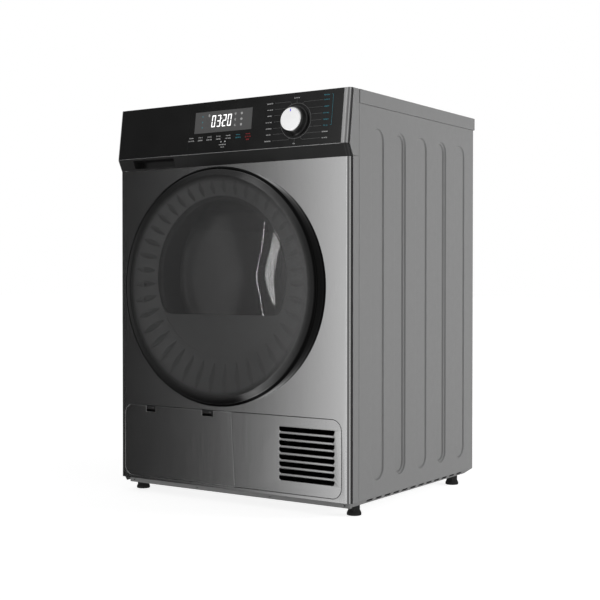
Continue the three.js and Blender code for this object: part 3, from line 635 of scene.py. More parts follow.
# A rib's wall by its depth: (distance in from its outline, fall from the panel).
RIB_WALLS = {
    SHALLOW: [(0, 0), (0.5, 0.1), (0.9, 0.5), (2.0, 3.0), (2.4, 3.4), (3.1, 3.6)],
    DEEP: [
        (0, 0), (0.5, 0.1), (0.9, 0.5), (1.9, 3.1), (2.3, 3.4), (4.4, 3.9), (4.8, 4.2), (6.0, 7.0),
        (6.4, 7.3), (7.2, 7.4),
    ],
}


def rib(build, outline, depth, place):
    """A pressed rib: rolled edges, steep walls (stepped on the deep ribs) and a flat floor."""
    wall = RIB_WALLS[depth]
    build.skin([[place(u, v, fall) for u, v in inset(outline, across)] for across, fall in wall])
    build.flat([inset(outline, wall[-1][0])], lambda u, v: place(u, v, depth))


def side_panel(side, name, node):
    build = Build()
    place = facing_side(side)
    z0, z1 = SKIRT_Z, SIDE_Z[1]

    def on_flange(u, v, depth=0):
        return (side * (HALF - FLANGE_IN * v / 10), u, z0 - v)

    ribs = [stadium(y0, y1, *RIB_Z, 14) for y0, y1, _ in RIBS]
    body = [(SEAM_Y[1], z0), (SIDE_Y[1], z0), (SIDE_Y[1], z1), (SEAM_Y[1], z1)]
    build.flat([body] + ribs, place)
    for outline, (_, _, depth) in zip(ribs, RIBS):
        rib(build, outline, depth, place)
    top = CONSOLE_SEAM_Z
    hem = [(SIDE_Y[0], z0), (SEAM_Y[0], z0), (SEAM_Y[0], top), (SIDE_Y[0], top)]
    build.flat([hem], place)
    groove = [(SEAM_Y[0], 0), (SEAM_Y[0], 0.5), (SEAM_Y[1], 0.5), (SEAM_Y[1], 0)]
    build.strip([[place(y, z, d) for y, d in groove] for z in (z0, CONSOLE_SEAM_Z)])
    flange = [
        (SIDE_Y[0], 0), (SIDE_Y[1], 0), (SIDE_Y[1], 1.5), (524.6, FLANGE_FALL), (SIDE_Y[0], FLANGE_FALL),
    ]
    starts = [70 + i * SIDE_SLOT_PITCH for i in range(SIDE_SLOTS)]
    slots = [rounded_rect(start, start + 25, 2.4, 7.0, 2.2, 4) for start in starts]
    build.flat([flange] + slots, on_flange)
    return build.piece(name, "cabinet", SIDE_PAINT, node, "painted_steel", solid=0.9)


# ------------------------------------------------------------------ worktop and console
TOP_X, TOP_Y, TOP_Z = node_box("worktop")
CONSOLE_Y = node_box("console_housing")[1]
RIDGE_Y, RIDGE_Z = -12.3, 734.5
EDGE_RETURN_X = 294.6
TOP_FACE_Y, HEIGHT = 2.3, 845.0
TILT = math.atan2(TOP_FACE_Y - RIDGE_Y, HEIGHT - RIDGE_Z)
FACE_LENGTH = math.hypot(TOP_FACE_Y - RIDGE_Y, HEIGHT - RIDGE_Z)
BEVEL_FOOT_Z = 710.4
CAP_STEP = 11.6


def worktop():
    build = Build()
    build.box(TOP_X[0], TOP_X[1], TOP_Y[0], TOP_Y[1], TOP_Z[0], TOP_Z[1], 1.6)
    return build.piece("worktop_board", "cabinet", SIDE_PAINT, "worktop", "grey_laminate")


def console_shell():
    build = Build()
    back = CONSOLE_Y[1]
    outline = [
        (TOP_FACE_Y + CAP_STEP, HEIGHT), (RIDGE_Y + CAP_STEP, RIDGE_Z), (CAP_STEP, CONSOLE_SEAM_Z + 0.5),
        (back, CONSOLE_SEAM_Z + 0.5), (back, HEIGHT),
    ]
    for side in (-1, 1):
        build.plate(outline, [], facing_side(side), 2.4, 0.5)
    build.box(-292, 292, 7.5, back, 842.4, HEIGHT, 0.5)
    build.box(-HALF + 0.3, HALF - 0.3, TOP_FACE_Y + CAP_STEP + 0.5, back, 842.4, HEIGHT, 0.5)
    return build.piece("console_shell", "cabinet", SIDE_PAINT, "console_housing", "painted_steel")


def on_fascia(u, v, depth=0):
    """v runs up the leaning glass from its lower edge, depth goes into it."""
    y = RIDGE_Y + v * math.sin(TILT) + depth * math.cos(TILT)
    z = RIDGE_Z + v * math.cos(TILT) - depth * math.sin(TILT)
    return (u, y, z)


def fascia_v(z):
    return (z - RIDGE_Z) / math.cos(TILT)


GLASS_LOW = 0.7
FASCIA_X = node_box("fascia_glass")[0]
TANK_X = node_box("tank_front_glass")[0]
DIAL_X = sum(node_box("dial_base")[0]) / 2
DIAL_V = fascia_v(786.3)


def fascia(name, node, x_range, body, holes):
    build = Build()
    x0, x1 = x_range
    outline = rounded_rect(x0, x1, GLASS_LOW, FACE_LENGTH - 0.2, 0.8, 3)
    build.plate(outline, holes, on_fascia, 3.9, 0.45)
    build.piece(name, body, FASCIA_BLACK, node, "black_gloss")
    # Painted highlight: a light satin-metal strip along the glass's lower edge stands in for that edge's
    # highlight.
    edge_highlight = Build()
    edge_highlight.plate(rounded_rect(x0, x1, 0, 0.9, 0.1, 2), [], lambda u, v, d=0: on_fascia(u, v, d - 0.05), 3, 0.1)
    edge_highlight.piece(name + "_trim", body, EDGE_HIGHLIGHT_METAL, (), "black_gloss")


def edge_plan(x0, side):
    """Plan of the rounded console edge from x0 to the side, then its short return."""
    flat = HALF - CORNER
    back = math.degrees(math.asin(max(0.0, x0 - flat) / CORNER))
    start = [(x0, 0)] if x0 < flat else []
    plan = start + arc(flat, CORNER, CORNER, 270 + back, 360, 12)
    plan += [(HALF, WRAP), (EDGE_RETURN_X, WRAP), (EDGE_RETURN_X, 4), (x0, 4)]
    return [(side * x, y) for x, y in plan]


def end_strip(name, node, x0, side, body):
    build = Build()
    plan = edge_plan(x0, side)
    loops = []
    for v in (GLASS_LOW, FACE_LENGTH - 0.2):
        y, z = on_fascia(0, v)[1:]
        loops.append([(px, py + y, z) for px, py in plan])
    build.skin(loops)
    for _, py, pz in (loops[0][0], loops[1][0]):
        build.flat([plan], lambda u, v, y=py - plan[0][1], z=pz: (u, v + y, z))
    return build.piece(name, body, STRIP_METAL, node, "plated_panel", sharp=45)


GRIP = {"x": (-252, -138), "z": (713.5, 730.6), "back": 21}


def on_bevel(u, v, depth=0):
    """v runs up the sloping bevel from its foot."""
    rise, run = RIDGE_Z - BEVEL_FOOT_Z, RIDGE_Y
    length = math.hypot(rise, run)
    y = run * v / length + depth * rise / length
    z = BEVEL_FOOT_Z + rise * v / length - depth * run / length
    return (u, y, z)


def bevel_v(z):
    return (z - BEVEL_FOOT_Z) / (RIDGE_Z - BEVEL_FOOT_Z) * math.hypot(RIDGE_Z - BEVEL_FOOT_Z, RIDGE_Y)


def bevel_corner(build, side):
    """The rounded end of the bevel, where it wraps to the side."""
    flat = HALF - CORNER
    plan = arc(side * flat, CORNER, CORNER, 270, 270 + side * 90, 12)
    plan += [(side * HALF, WRAP), (side * EDGE_RETURN_X, WRAP)]
    lines = []
    for v in (0, bevel_v(RIDGE_Z)):
        y, z = on_bevel(0, v)[1:]
        lines.append([(px, py + y, z) for px, py in plan])
    build.strip(lines)


def bevels():
    flat = HALF - CORNER
    top = bevel_v(RIDGE_Z)
    right = Build()
    x0 = node_box("fascia_bevel")[0][0]
    right.flat([[(x0, 0), (flat, 0), (flat, top), (x0, top)]], on_bevel)
    bevel_corner(right, 1)
    right.piece("bevel_right", "cabinet", BEVEL_BLACK, "fascia_bevel", "black_gloss", solid=2.5)
    left = Build()
    x1 = node_box("tank_front_bevel")[0][1]
    hole = rounded_rect(*GRIP["x"], bevel_v(GRIP["z"][0]), bevel_v(GRIP["z"][1]), 1.5, 4)
    left.flat([[(-flat, 0), (x1, 0), (x1, top), (-flat, top)], inset(hole, -0.4)], on_bevel)
    bevel_corner(left, -1)
    rim = [on_bevel(u, v) for u, v in inset(hole, -0.4)]
    lip = [on_bevel(u, v, 0.5) for u, v in hole]
    back = GRIP["back"]
    centre = sum(GRIP["x"]) / 2
    deep = [(centre + (x - centre) * 0.985, back - 2.5, z + 0.3) for x, _, z in lip]
    floor = [(centre + (x - centre) * 0.96, back, 722 + (z - 722) * 0.75) for x, _, z in lip]
    left.skin([rim, lip, deep, floor])
    left.flat([[(x, z) for x, _, z in floor]], lambda u, v: (u, back, v))
    left.piece("tank_bevel", "tank_drawer", BEVEL_BLACK, "tank_front_bevel", "black_gloss", solid=2.2)


# ------------------------------------------------------------------ programme dial
def on_dial(u, v, height):
    """Round the dial's axis: u right, v up the glass, height out of it."""
    return on_fascia(DIAL_X + u, DIAL_V + v, -height)


def dial():
    base = Build()
    base.turned(
        [(0.1, 0.7), (30.6, 0.7), (31, 1.0), (31, 3.6), (30.7, 4.2), (29.4, 4.8), (28.6, 6.2), (26.6, 14.2),
         (26.0, 15.2), (24.6, 15.8), (0.1, 15.8)], on_dial, 144)
    base.piece("dial_skirt", "programme_dial", DIAL_BLACK, "dial_base", "black_gloss")
    band = Build()
    band.turned(
        [(24.2, 15.4), (24.5, 15.9), (24.5, 17.0), (23.9, 17.6), (22.4, 17.8), (22.4, 15.4)], on_dial, 144)
    band.piece("dial_band", "programme_dial", CHROME, (), "dial_white")
    # The cap's white glows a little: painted light.
    cap = Build()
    cap.turned(
        [(0.1, 15.9), (22.9, 15.9), (23.1, 17.0), (23.1, 19.2), (22.8, 20.2), (22.0, 20.9), (20.5, 21.2),
         (0.1, 21.35)], on_dial, 144)
    cap.piece("dial_face", "programme_dial", DIAL_WHITE_GLOWING, "dial_cap", "dial_white")
    mark = Build()
    outline = rounded_rect(-1.3, 1.3, 14.5, 20.2, 1.2, 6)
    mark.plate(outline, [], lambda u, v, d=0: on_dial(u, v, 21.4 - d), 0.2, 0.05)
    mark.piece("dial_mark", "programme_dial", PRINT_BLUE, (), "dial_white", weighted=False)


# ------------------------------------------------------------------ door
def door_turned(profile, steps=192, z=None):
    build = Build()
    centre = DOOR_Z if z is None else z
    build.turned(profile, lambda u, v, h: (u, h, centre + v), steps)
    return build


def door_cover():
    build = door_turned([
        (0.1, -47.9), (120, -47.85), (228.4, -47.5), (229.6, -47.3), (230.6, -46.9), (240.6, -43.1),
        (241.4, -42.5), (241.6, -41.6), (241.6, -39.4), (238, -39.4), (229, -43.4), (0.1, -44.0),
    ])
    return build.piece("door_window", "door", SMOKED, "door_cover", "smoked_cover")


def door_ring():
    profile = [
        (236.4, -1.3), (243.6, -1.3), (244.0, -1.7), (244.6, -7.2), (244.3, -7.8), (243.2, -8.2),
        (243.0, -9.2),
        (243.2, -10.4), (244.6, -11.0), (245.3, -11.8), (246.3, -20), (247.2, -30), (247.9, -36.8),
        (247.7, -38.8), (246.8, -40.6), (245.2, -41.9), (243.6, -42.3), (242.3, -42.0), (242.1, -41.0),
        (242.1, -38.6), (236.4, -38.6),
    ]
    build = door_turned(profile + profile[:1])
    return build.piece("door_rim", "door", GLOSS_BLACK, "door_ring", "black_gloss")


CHORD_Z = 396.7
DIMPLES = 40
DIMPLE_DEPTH = 9.5
DIMPLE_MIDDLE, DIMPLE_REACH, DIMPLE_WIDTH = 0.53, 0.34, 0.40
# The band from its outer edge (t = 0) to the inner circle (t = 1): t, radius, centre's height, depth.
BAND_KNOTS = [
    (0, 235.4, DOOR_Z, -38.2), (0.14, 226, DOOR_Z, -37.6), (0.3, 214, DOOR_Z + 2, -36.0),
    (0.62, 193, DOOR_Z + 10, -31.0), (0.85, 176, MOUTH_Z - 4, -27.2), (1, 167.5, MOUTH_Z, -26.0),
]
# Dimples stop in front of the hinge leaf's plate.
LEAF_X, LEAF_Y, LEAF_Z = node_box("door_hinge_leaf")
LEAF_FRONT = sum(LEAF_Y) / 2 + 0.3


def band_point(angle, t):
    """A point of the dimpled band, on a ray that leaves the mouth's centre at the angle."""
    for low, high in zip(BAND_KNOTS, BAND_KNOTS[1:]):
        if t <= high[0]:
            break
    f = (t - low[0]) / (high[0] - low[0])
    radius, z, y = (low[i] + (high[i] - low[i]) * f for i in (1, 2, 3))
    below = MOUTH_Z - z
    reach = math.sqrt(radius ** 2 - (below * math.cos(angle)) ** 2) - below * math.sin(angle)
    return reach * math.cos(angle), y, MOUTH_Z + reach * math.sin(angle)


def dimple(angle, t):
    """How deep the band is pressed there: one pointed oval in each of its shares of the circle."""
    share = 2 * math.pi / DIMPLES
    across = abs(((angle / share) % 1.0 - 0.5) * 2)
    along = (t - DIMPLE_MIDDLE) / DIMPLE_REACH
    if abs(along) >= 1:
        return 0.0
    width = DIMPLE_WIDTH * (1 - along * along)
    if across >= width:
        return 0.0
    return DIMPLE_DEPTH * (1 - (across / width) ** 2.4) * (1 - along * along) ** 0.6


WEB_RADIUS, WEB_FILLET, WEB_Y = 167.5, 24, -25.4


def web_outline():
    """The web below the chord: its upper edge curves up into the circle at both ends."""
    across = math.sqrt((WEB_RADIUS - WEB_FILLET) ** 2 - (CHORD_Z + WEB_FILLET - MOUTH_Z) ** 2)
    centre_z = CHORD_Z + WEB_FILLET
    turn = math.degrees(math.atan2(centre_z - MOUTH_Z, across))
    right = arc(across, centre_z, WEB_FILLET, 270, 360 + turn, 14)
    left = arc(-across, centre_z, WEB_FILLET, 180 - turn, 270, 14)
    rim = arc(0, MOUTH_Z, WEB_RADIUS, 360 + turn, 180 - turn, 70)
    return left + right + rim[1:-1]


def door_inner():
    build = Build()
    around, radial = 1200, 60
    lines = []
    for k in range(radial + 1):
        t = k / radial
        line = []
        for i in range(around):
            angle = 2 * math.pi * i / around
            x, y, z = band_point(angle, t)
            over_leaf = x < LEAF_X[1] + 2 and LEAF_Z[0] < z < LEAF_Z[1]
            line.append((x, min(y + dimple(angle, t), LEAF_FRONT if over_leaf else 0), z))
        lines.append(line)
    build.skin(lines)
    outline = web_outline()
    build.flat([outline], lambda u, v: (u, WEB_Y, v))
    lip = outline[:30]
    build.strip([[(x, y, z) for x, z in lip] for y in (WEB_Y, WEB_Y + 5)])
    return build.piece("door_dimpled_frame", "door", INNER_GREY, "door_inner_frame", "door_plastic",
                       weighted=False, sharp=60)


def dish(radius, centre_y, fall):
    """Depth of the bowl's end, which falls away from its centre ever more slowly than a sphere."""
    return centre_y - fall * radius ** 1.5


def door_bowl():
    radii = [0.1] + list(range(4, 137, 4))
    outer = [(r, dish(r, 67.9, 0.006)) for r in reversed(radii)]
    inner = [(r, dish(r, 63.6, 0.0120)) for r in radii]
    profile = [
        (171.6, -21.4), (171.6, -18), (170.6, -17.6), (164, -17.6), (162.6, -16), (160.4, 6), (156.5, 26),
        (149, 42),
    ]
    profile += outer + inner
    profile += [
        (146, 37), (152.2, 22), (156, 5), (158.6, -19), (159.6, -21.0), (160.6, -21.4), (171.6, -21.4),
    ]
    build = door_turned(profile, 160, MOUTH_Z)
    return build.piece("door_bowl", "door", BOWL_GLASS, "door_glass_bowl", "door_bowl_glass")


# ------------------------------------------------------------------ flap, latches and grille
SPLIT_TOP, SPLIT_FOOT = (9.7, 190.4), (18.3, 40.7)
WINDOWS = [(-223.5, -198.8), (-68.3, -39.4)]
WINDOW_Z = 180.5


def split_x(z):
    (x1, z1), (x0, z0) = SPLIT_TOP, SPLIT_FOOT
    return x0 + (x1 - x0) * (z - z0) / (z1 - z0)


def half_outline(side):
    """The flap's or the grille's part of the shared outline, kept to one side of the slanted gap."""
    kept = [p for p in lower_outline(0, 14) if side * (p[0] - split_x(p[1])) > 0.4]
    low, high = LOWER_Z
    cuts = [(split_x(low) + side * 0.4, low), (split_x(high) + side * 0.4, high)]
    if side > 0:
        start = next(i for i, p in enumerate(kept) if p[1] <= low + 0.001)
        return [cuts[0]] + kept[start:] + kept[:start] + [cuts[1]]
    return [cuts[1]] + kept + [cuts[0]]


def flap():
    outline = half_outline(-1)
    top = LOWER_Z[1]
    notched = [outline[0]]
    cut = 1.2
    for x0, x1 in reversed(WINDOWS):
        notched += [(x1, top), (x1, WINDOW_Z + cut), (x1 - cut, WINDOW_Z)]
        notched += [(x0 + cut, WINDOW_Z), (x0, WINDOW_Z + cut), (x0, top)]
    notched += outline[1:]
    build = Build()
    build.plate(notched, [], facing_front, 2.8, 0.5)
    build.piece("flap_cover", "flap", PANEL_METAL, "service_flap", "plated_panel")
    for name, (x0, x1) in zip(("latch_left", "latch_right"), WINDOWS):
        latch = Build()
        latch.box(x0 + 1.5, x1 - 1.5, 1.7, 3.9, 186, 193.5, 0.3)
        latch.box(x0 + 4, x1 - 4, 0.4, 2.2, 187, 189.2, 0.4)
        latch.piece(name + "_slider", name, BLACK_PLASTIC, "flap_" + name, "black_plastic")
        clip = Build()
        middle = (x0 + x1) / 2 + 3
        clip.box(middle - 4.5, middle + 4.5, 0.5, 1.5, 187.2, 188.6, 0.35)
        clip.box(middle + 2.6, middle + 4.5, 0.3, 1.5, 188.4, 190.6, 0.35)
        clip.piece(name + "_clip", name, CHROME, (), "black_plastic")


GRILLE_SLOTS = [67.5 + i * 14.2 for i in range(8)]
SLOT_X = (130, 262)
SLOT_HALF = 4.4


def hooded_slot(z):
    """A slot with a full, rounded lower lip and nearly square upper corners."""
    (x0, x1), z0, z1 = SLOT_X, z - SLOT_HALF, z + SLOT_HALF
    loop = []
    corners = [
        (x1, z0, 1, -1, -90, 6.4), (x1, z1, 1, 1, 0, 0.9), (x0, z1, -1, 1, 90, 1.4),
        (x0, z0, -1, -1, 180, 5.6),
    ]
    for x, zz, sx, sz, start, radius in corners:
        loop += arc(x - sx * radius, zz - sz * radius, radius, start, start + 90, 6)
    return loop


def grille():
    slots = [hooded_slot(z) for z in GRILLE_SLOTS]
    build = Build()
    build.plate(half_outline(1), slots, facing_front, 2.8, 0.5, 1.3)
    build.piece("grille_cover", "cabinet", PANEL_METAL, "grille_panel", "plated_panel")


# ------------------------------------------------------------------ feet
FOOT_TOP, FOOT_TAPER = 20.5, 0.95


def foot(node):
    """A round pad, a hexagon above it and the stud that screws into the base."""
    (x0, x1), (y0, y1), _ = node_box(node)
    cx, cy = (x0 + x1) / 2, (y0 + y1) / 2

    def place(u, v, height):
        return (cx + u, cy + v, height)

    build = Build()
    build.turned([
        (0.1, 0.05), (13.9, 0.05), (14.7, 0.7), (14.7, 4.6), (14.3, 5.6), (12.9, 8.6), (12.6, 9.6),
        (0.1, 9.6),
    ], place, 64)
    hexagon = circle(0, 0, 13.4, 6)
    rings = [[place(u, v, h) for u, v in hexagon] for h in (8.8, 19.8)]
    rings.append([place(u * FOOT_TAPER, v * FOOT_TAPER, FOOT_TOP) for u, v in hexagon])
    build.skin(rings)
    tapered = [(u * FOOT_TAPER, v * FOOT_TAPER) for u, v in hexagon]
    build.flat([tapered], lambda u, v: place(u, v, FOOT_TOP))
    build.turned([(4, 18), (4, 56), (0.1, 56)], place, 24)
    build.piece(node + "_pad", node, RUBBER, node, "rubber")


def feet():
    for end in ("front", "rear"):
        for hand in ("left", "right"):
            foot(f"foot_{end}_{hand}")


def flange_shade_rails():
    """Black rails behind the slotted flanges: painted shade, dark sheets where the slots would otherwise show
    the floor beyond.
    """
    build = Build()
    for side in (-1, 1):
        x0, x1 = sorted((side * 287.6, side * 289.4))
        build.box(x0, x1, SIDE_Y[0] + 24, 524, 21.6, 31.2, 0.4)
    build.piece("flange_shade_rails", "cabinet", BLACK_PLASTIC, (), "base_moulding")


# ------------------------------------------------------------------ back of the door, seal and drum
def door_seal():
    build = Build()
    build.skin([
        [(u, y, MOUTH_Z + v) for u, v in circle(0, 0, radius, 160)] for radius, y in (
            (188.6, 2.2), (195.2, 2.2), (195.4, 3.0), (195.4, 5.6), (194.6, 7.6), (193.0, 9.4), (192.6, 11.4),
            (191.8, 12.4), (190.4, 12.5), (188.6, 12.0),
        )
    ], close=True)
    return build.piece("door_gasket", "cabinet", RUBBER, "door_seal", "rubber")


DRUM_Y = (node_box("drum_front_end")[1][0], 512)
DRUM_RADIUS = (node_box("drum_shell")[0][1] - node_box("drum_shell")[0][0]) / 2
DRUM_RINGS = (150, 300, 450)
LIFTER_FOOT = -276
# How far a lifter has risen along its length: (y, share of its height).
LIFTER_RISE = [
    (112, 0.02), (114, 0.55), (120, 0.86), (132, 1.0), (460, 1.0), (472, 0.86), (478, 0.55), (480, 0.02),
]


def drum():
    front, back = DRUM_Y
    build = Build()
    wall, pressed = DRUM_RADIUS - 0.2, DRUM_RADIUS - 1.0
    profile = [
        (206.4, front + 0.4), (207.5, front + 0.2), (262, front + 2.0), (272, front + 5), (278, front + 11),
        (wall, front + 19),
    ]
    for y in DRUM_RINGS:
        profile += [(wall, y - 9), (pressed, y - 4), (pressed, y + 4), (wall, y + 9)]
    profile += [
        (wall, back - 16), (277, back - 7), (270, back - 1.6), (262, back - 0.4), (200, back - 0.4),
        (190, back - 6), (80, back - 6), (70, back - 0.6), (0.1, back - 0.6),
    ]
    build.turned(profile, lambda u, v, h: (u, h, MOUTH_Z + v), 192)
    build.piece("drum_skin", "drum", DRUM_STEEL, ("drum_shell", "drum_front_end"), "drum_steel", solid=-1.0)
    # Painted shade: black discs where the air holes are, standing in for the dark seen through them.
    dots = Build()
    for ring_radius in range(90, 190, 14):
        count = int(ring_radius * 2 * math.pi / 16)
        for i in range(count):
            t = 2 * math.pi * (i + 0.5 * (ring_radius % 28 > 13)) / count
            hole = circle(ring_radius * math.cos(t), MOUTH_Z + ring_radius * math.sin(t), 2.4, 8)
            dots.flat([hole], lambda u, v: (u, back - 7.3, v))
            dots.skin([[(u, back - 7.3, v) for u, v in hole], [(u, back - 6.2, v) for u, v in hole]])
    dots.piece("drum_air_hole_shade", "drum", BLACK_PLASTIC, (), "drum_steel", weighted=False)


def lifter(index):
    """One lifter: a soft-edged bar that leans in from the drum wall."""
    turn = index * 2 * math.pi / 3
    half = [(-24, LIFTER_FOOT), (-17, -258), (-11.5, -241), (-9, -236.5), (-5, -234.3), (0, -233.9)]
    section = half + [(-u, v) for u, v in reversed(half[:-1])]
    build = Build()
    rings = []
    for y, scale in LIFTER_RISE:
        ring = []
        for u, v in section:
            v = LIFTER_FOOT + (v - LIFTER_FOOT) * scale
            x = u * math.cos(turn) + v * math.sin(turn)
            z = -u * math.sin(turn) + v * math.cos(turn)
            ring.append((x, y, MOUTH_Z + z))
        rings.append(ring)
    build.skin(rings)
    name = f"lifter_{index + 1}"
    return build.piece(name, "drum", GREY_PLASTIC, "drum_" + name, "grey_plastic", sharp=50)


# ------------------------------------------------------------------ back of the cabinet
REAR_Y = node_box("rear_duct_cover")[1][1]
DUCT_RINGS = (34, 96, 156)
LOUVRE_Z = [96 + 14 * i for i in range(7)]
# A louvre's hood in section: (distance down from its upper edge, how far it stands out).
HOOD_SECTION = [
    (0, 0.0), (2.2, 1.6), (5.2, 2.6), (6.4, 2.7), (6.4, 2.1), (5.2, 2.0), (2.6, 1.0), (1.2, 0.0),
]


def duct_cover():
    build = Build()
    face, pressed = REAR_Y - 0.3, REAR_Y - 2.2
    profile = [(0.1, face)]
    for radius in DUCT_RINGS:
        profile += [(radius, face), (radius + 3, pressed), (radius + 9, pressed), (radius + 12, face)]
    profile += [
        (187, face), (191, REAR_Y - 1.2), (210, 562), (213, 560.6), (219, 558.6), (221.4, 557.6),
        (221.9, 556.6), (221.9, 554.5), (206.2, 554.5), (206.2, 558), (186.5, 572.6), (0.1, 572.8),
    ]
    build.turned(profile, lambda u, v, h: (u, h, MOUTH_Z + v), 160)
    for i in range(8):
        t = math.radians(45 * i + 22.5)
        cx, cz = 216.2 * math.cos(t), 216.2 * math.sin(t)
        build.turned([(0.1, 560.9), (2.6, 560.9), (3.4, 560.2), (3.4, 558.4)],
                     lambda u, v, h, cx=cx, cz=cz: (cx + u, h, MOUTH_Z + cz + v), 20)
    return build.piece("duct_cover", "cabinet", DUCT_GREY, "rear_duct_cover", "duct_plastic")


def rear_panel():
    (x0, x1), (y0, y1), (z0, z1) = node_box("rear_panel")
    holes = []
    for i in range(6):
        angle = math.radians(60 * (i + 0.5))
        holes.append(circle(140 * math.cos(angle), MOUTH_Z + 140 * math.sin(angle), 30, 40))
    louvres = [rounded_rect(-250, -120, z, z + 5, 2.4, 5) for z in LOUVRE_Z]
    build = Build()
    outline = rounded_rect(x0, x1, z0, z1, 2, 3)
    build.plate(outline, holes + louvres, lambda u, v, depth: (u, y1 - depth, v), y1 - y0, 0.3)
    for z in LOUVRE_Z:
        hood = [(-252, z + 5.6), (-118, z + 5.6)]
        sides = [[(u, y1 + lift, v - t + 2) for t, lift in HOOD_SECTION] for u, v in hood]
        build.skin(sides)
        for side in sides:
            build.add(side, [tuple(range(len(side)))])
    for side in (-1, 1):
        for z in (60, 250, 440, 630, 790):
            build.turned([(0.1, y1 + 1.5), (2.8, y1 + 1.5), (3.6, y1 + 0.9), (3.6, y1 - 0.2)],
                         lambda u, v, h, cx=side * 288, cz=z: (cx + u, h, cz + v), 20)
    return build.piece("back_sheet", "cabinet", ZINC, "rear_panel", "zinc_plate")


# ------------------------------------------------------------------ pieces, in their order of making
front_sheet()
flange_shade_rails()
side_panel(1, "side_skin_right", "right_side_panel")
side_panel(-1, "side_skin_left", "left_side_panel")
worktop()
console_shell()
fascia("fascia_face", "fascia_glass", FASCIA_X, "cabinet", [circle(DIAL_X, DIAL_V, 5, 32)])
fascia("tank_face", "tank_front_glass", TANK_X, "tank_drawer", [])
end_strip("end_strip_right", "fascia_strip_right", FASCIA_X[1] + 0.4, 1, "cabinet")
end_strip("end_strip_left", "fascia_strip_left", 0.4 - TANK_X[0], -1, "tank_drawer")
bevels()
dial()
cover = door_cover()
rim = door_ring()
bowl = door_bowl()
back_frame = refine("door_back_frame", DARK_PLASTIC, "door_plastic")
for part in (cover, rim, door_inner(), bowl, back_frame):
    part.visible_glossy = False
for index, streak in enumerate(STREAK_LIGHTS):
    lamp = softbox(f"streak_light_{index + 1}", **streak)
    lamp.data.shape = "ELLIPSE"
    light_only(lamp, bowl)
door_seal()
drum()
for index in range(3):
    lifter(index)
duct_cover()
rear_panel()
flap()
grille()
feet()

# ------------------------------------------------------------------ printed marks
PRINT_LIFT = 0.10
PRINT_THICKNESS = 0.08
LETTER_HEIGHT = 2.1
SEGMENTS = {"0": "abcdef", "2": "abged", "3": "abgcd"}


class Print(Build):
    """Thin printed marks laid on the fascia; v is given as a height z on the glass."""

    def mark(self, loop, holes=()):
        def place(u, v, depth):
            return on_fascia(u, fascia_v(v), depth - PRINT_LIFT)

        self.plate(loop, holes, place, PRINT_THICKNESS, 0.0, steps=1)

    def bar(self, x0, x1, z0, z1):
        self.mark([(x0, z0), (x1, z0), (x1, z1), (x0, z1)])

    def line(self, a, b, width):
        (x0, z0), (x1, z1) = a, b
        length = math.hypot(x1 - x0, z1 - z0)
        dx, dz = -(z1 - z0) / length * width / 2, (x1 - x0) / length * width / 2
        self.mark([(x0 - dx, z0 - dz), (x1 - dx, z1 - dz), (x1 + dx, z1 + dz), (x0 + dx, z0 + dz)])

    def words(self, x, z, width, seed, height=LETTER_HEIGHT):
        """A line of letter-like strokes centred on x; it spells nothing."""
        step = height * 0.62
        count = max(3, int(width / step))
        for i in range(count):
            left = x - width / 2 + i * step
            kind = (i * 7 + seed * 5 + i * i * 3) % 6
            if kind == 5 and 1 < i < count - 2:
                continue
            tall = height if kind in (0, 3) else height * 0.72
            stem = step * 0.26
            self.bar(left, left + stem, z - height / 2, z - height / 2 + tall)
            if kind in (1, 2, 4):
                self.bar(left + stem, left + step * 0.7, z - height / 2 + tall - stem, z - height / 2 + tall)
            if kind in (2, 3):
                self.bar(left + stem, left + step * 0.7, z - height / 2, z - height / 2 + stem)
            if kind in (1, 4):
                self.bar(left + step * 0.48, left + step * 0.7, z - height / 2, z - height / 2 + tall - stem)

    def ring(self, x, z, inner, outer, start=0, end=360, steps=64):
        around = arc(x, z, outer, start, end, steps)
        back = arc(x, z, inner, end, start, steps)
        if end - start >= 360:
            self.mark(around[:-1], [back[:-1]])
        else:
            self.mark(around + back)

    def done(self, name, material):
        return self.piece(name, "cabinet", material, (), "black_gloss", weighted=False)


DISPLAY_X, DISPLAY_Z = (-83, 65.5), (778.6, 823.7)
DIGITS = [("0", -33.6), ("3", -20.0), ("2", -5.6), ("0", 7.7)]
DIGIT_SIZE = (9.6, 25.0)
DIGIT_STROKE = 2.2
DIGIT_SLANT = 0.07


def digit(build, x, z, name):
    """One seven-segment figure centred on (x, z)."""
    w, h = DIGIT_SIZE[0] / 2, DIGIT_SIZE[1] / 2
    t = DIGIT_STROKE
    across = {"a": h - t / 2, "g": 0, "d": -h + t / 2}
    upright = {"b": (w, h), "c": (w, 0), "e": (-w, 0), "f": (-w, h)}
    for segment in SEGMENTS[name]:
        if segment in across:
            v = across[segment]
            loop = [(-w + 0.9, v - t / 2), (w - 0.9, v - t / 2), (w - 0.9, v + t / 2), (-w + 0.9, v + t / 2)]
        else:
            side, top = upright[segment]
            inner = side - math.copysign(t, side)
            x0, x1 = min(side, inner), max(side, inner)
            loop = [(x0, top - h + 0.7), (x1, top - h + 0.7), (x1, top - 0.7), (x0, top - 0.7)]
        build.mark([(x + u + v * DIGIT_SLANT, z + v) for u, v in loop])


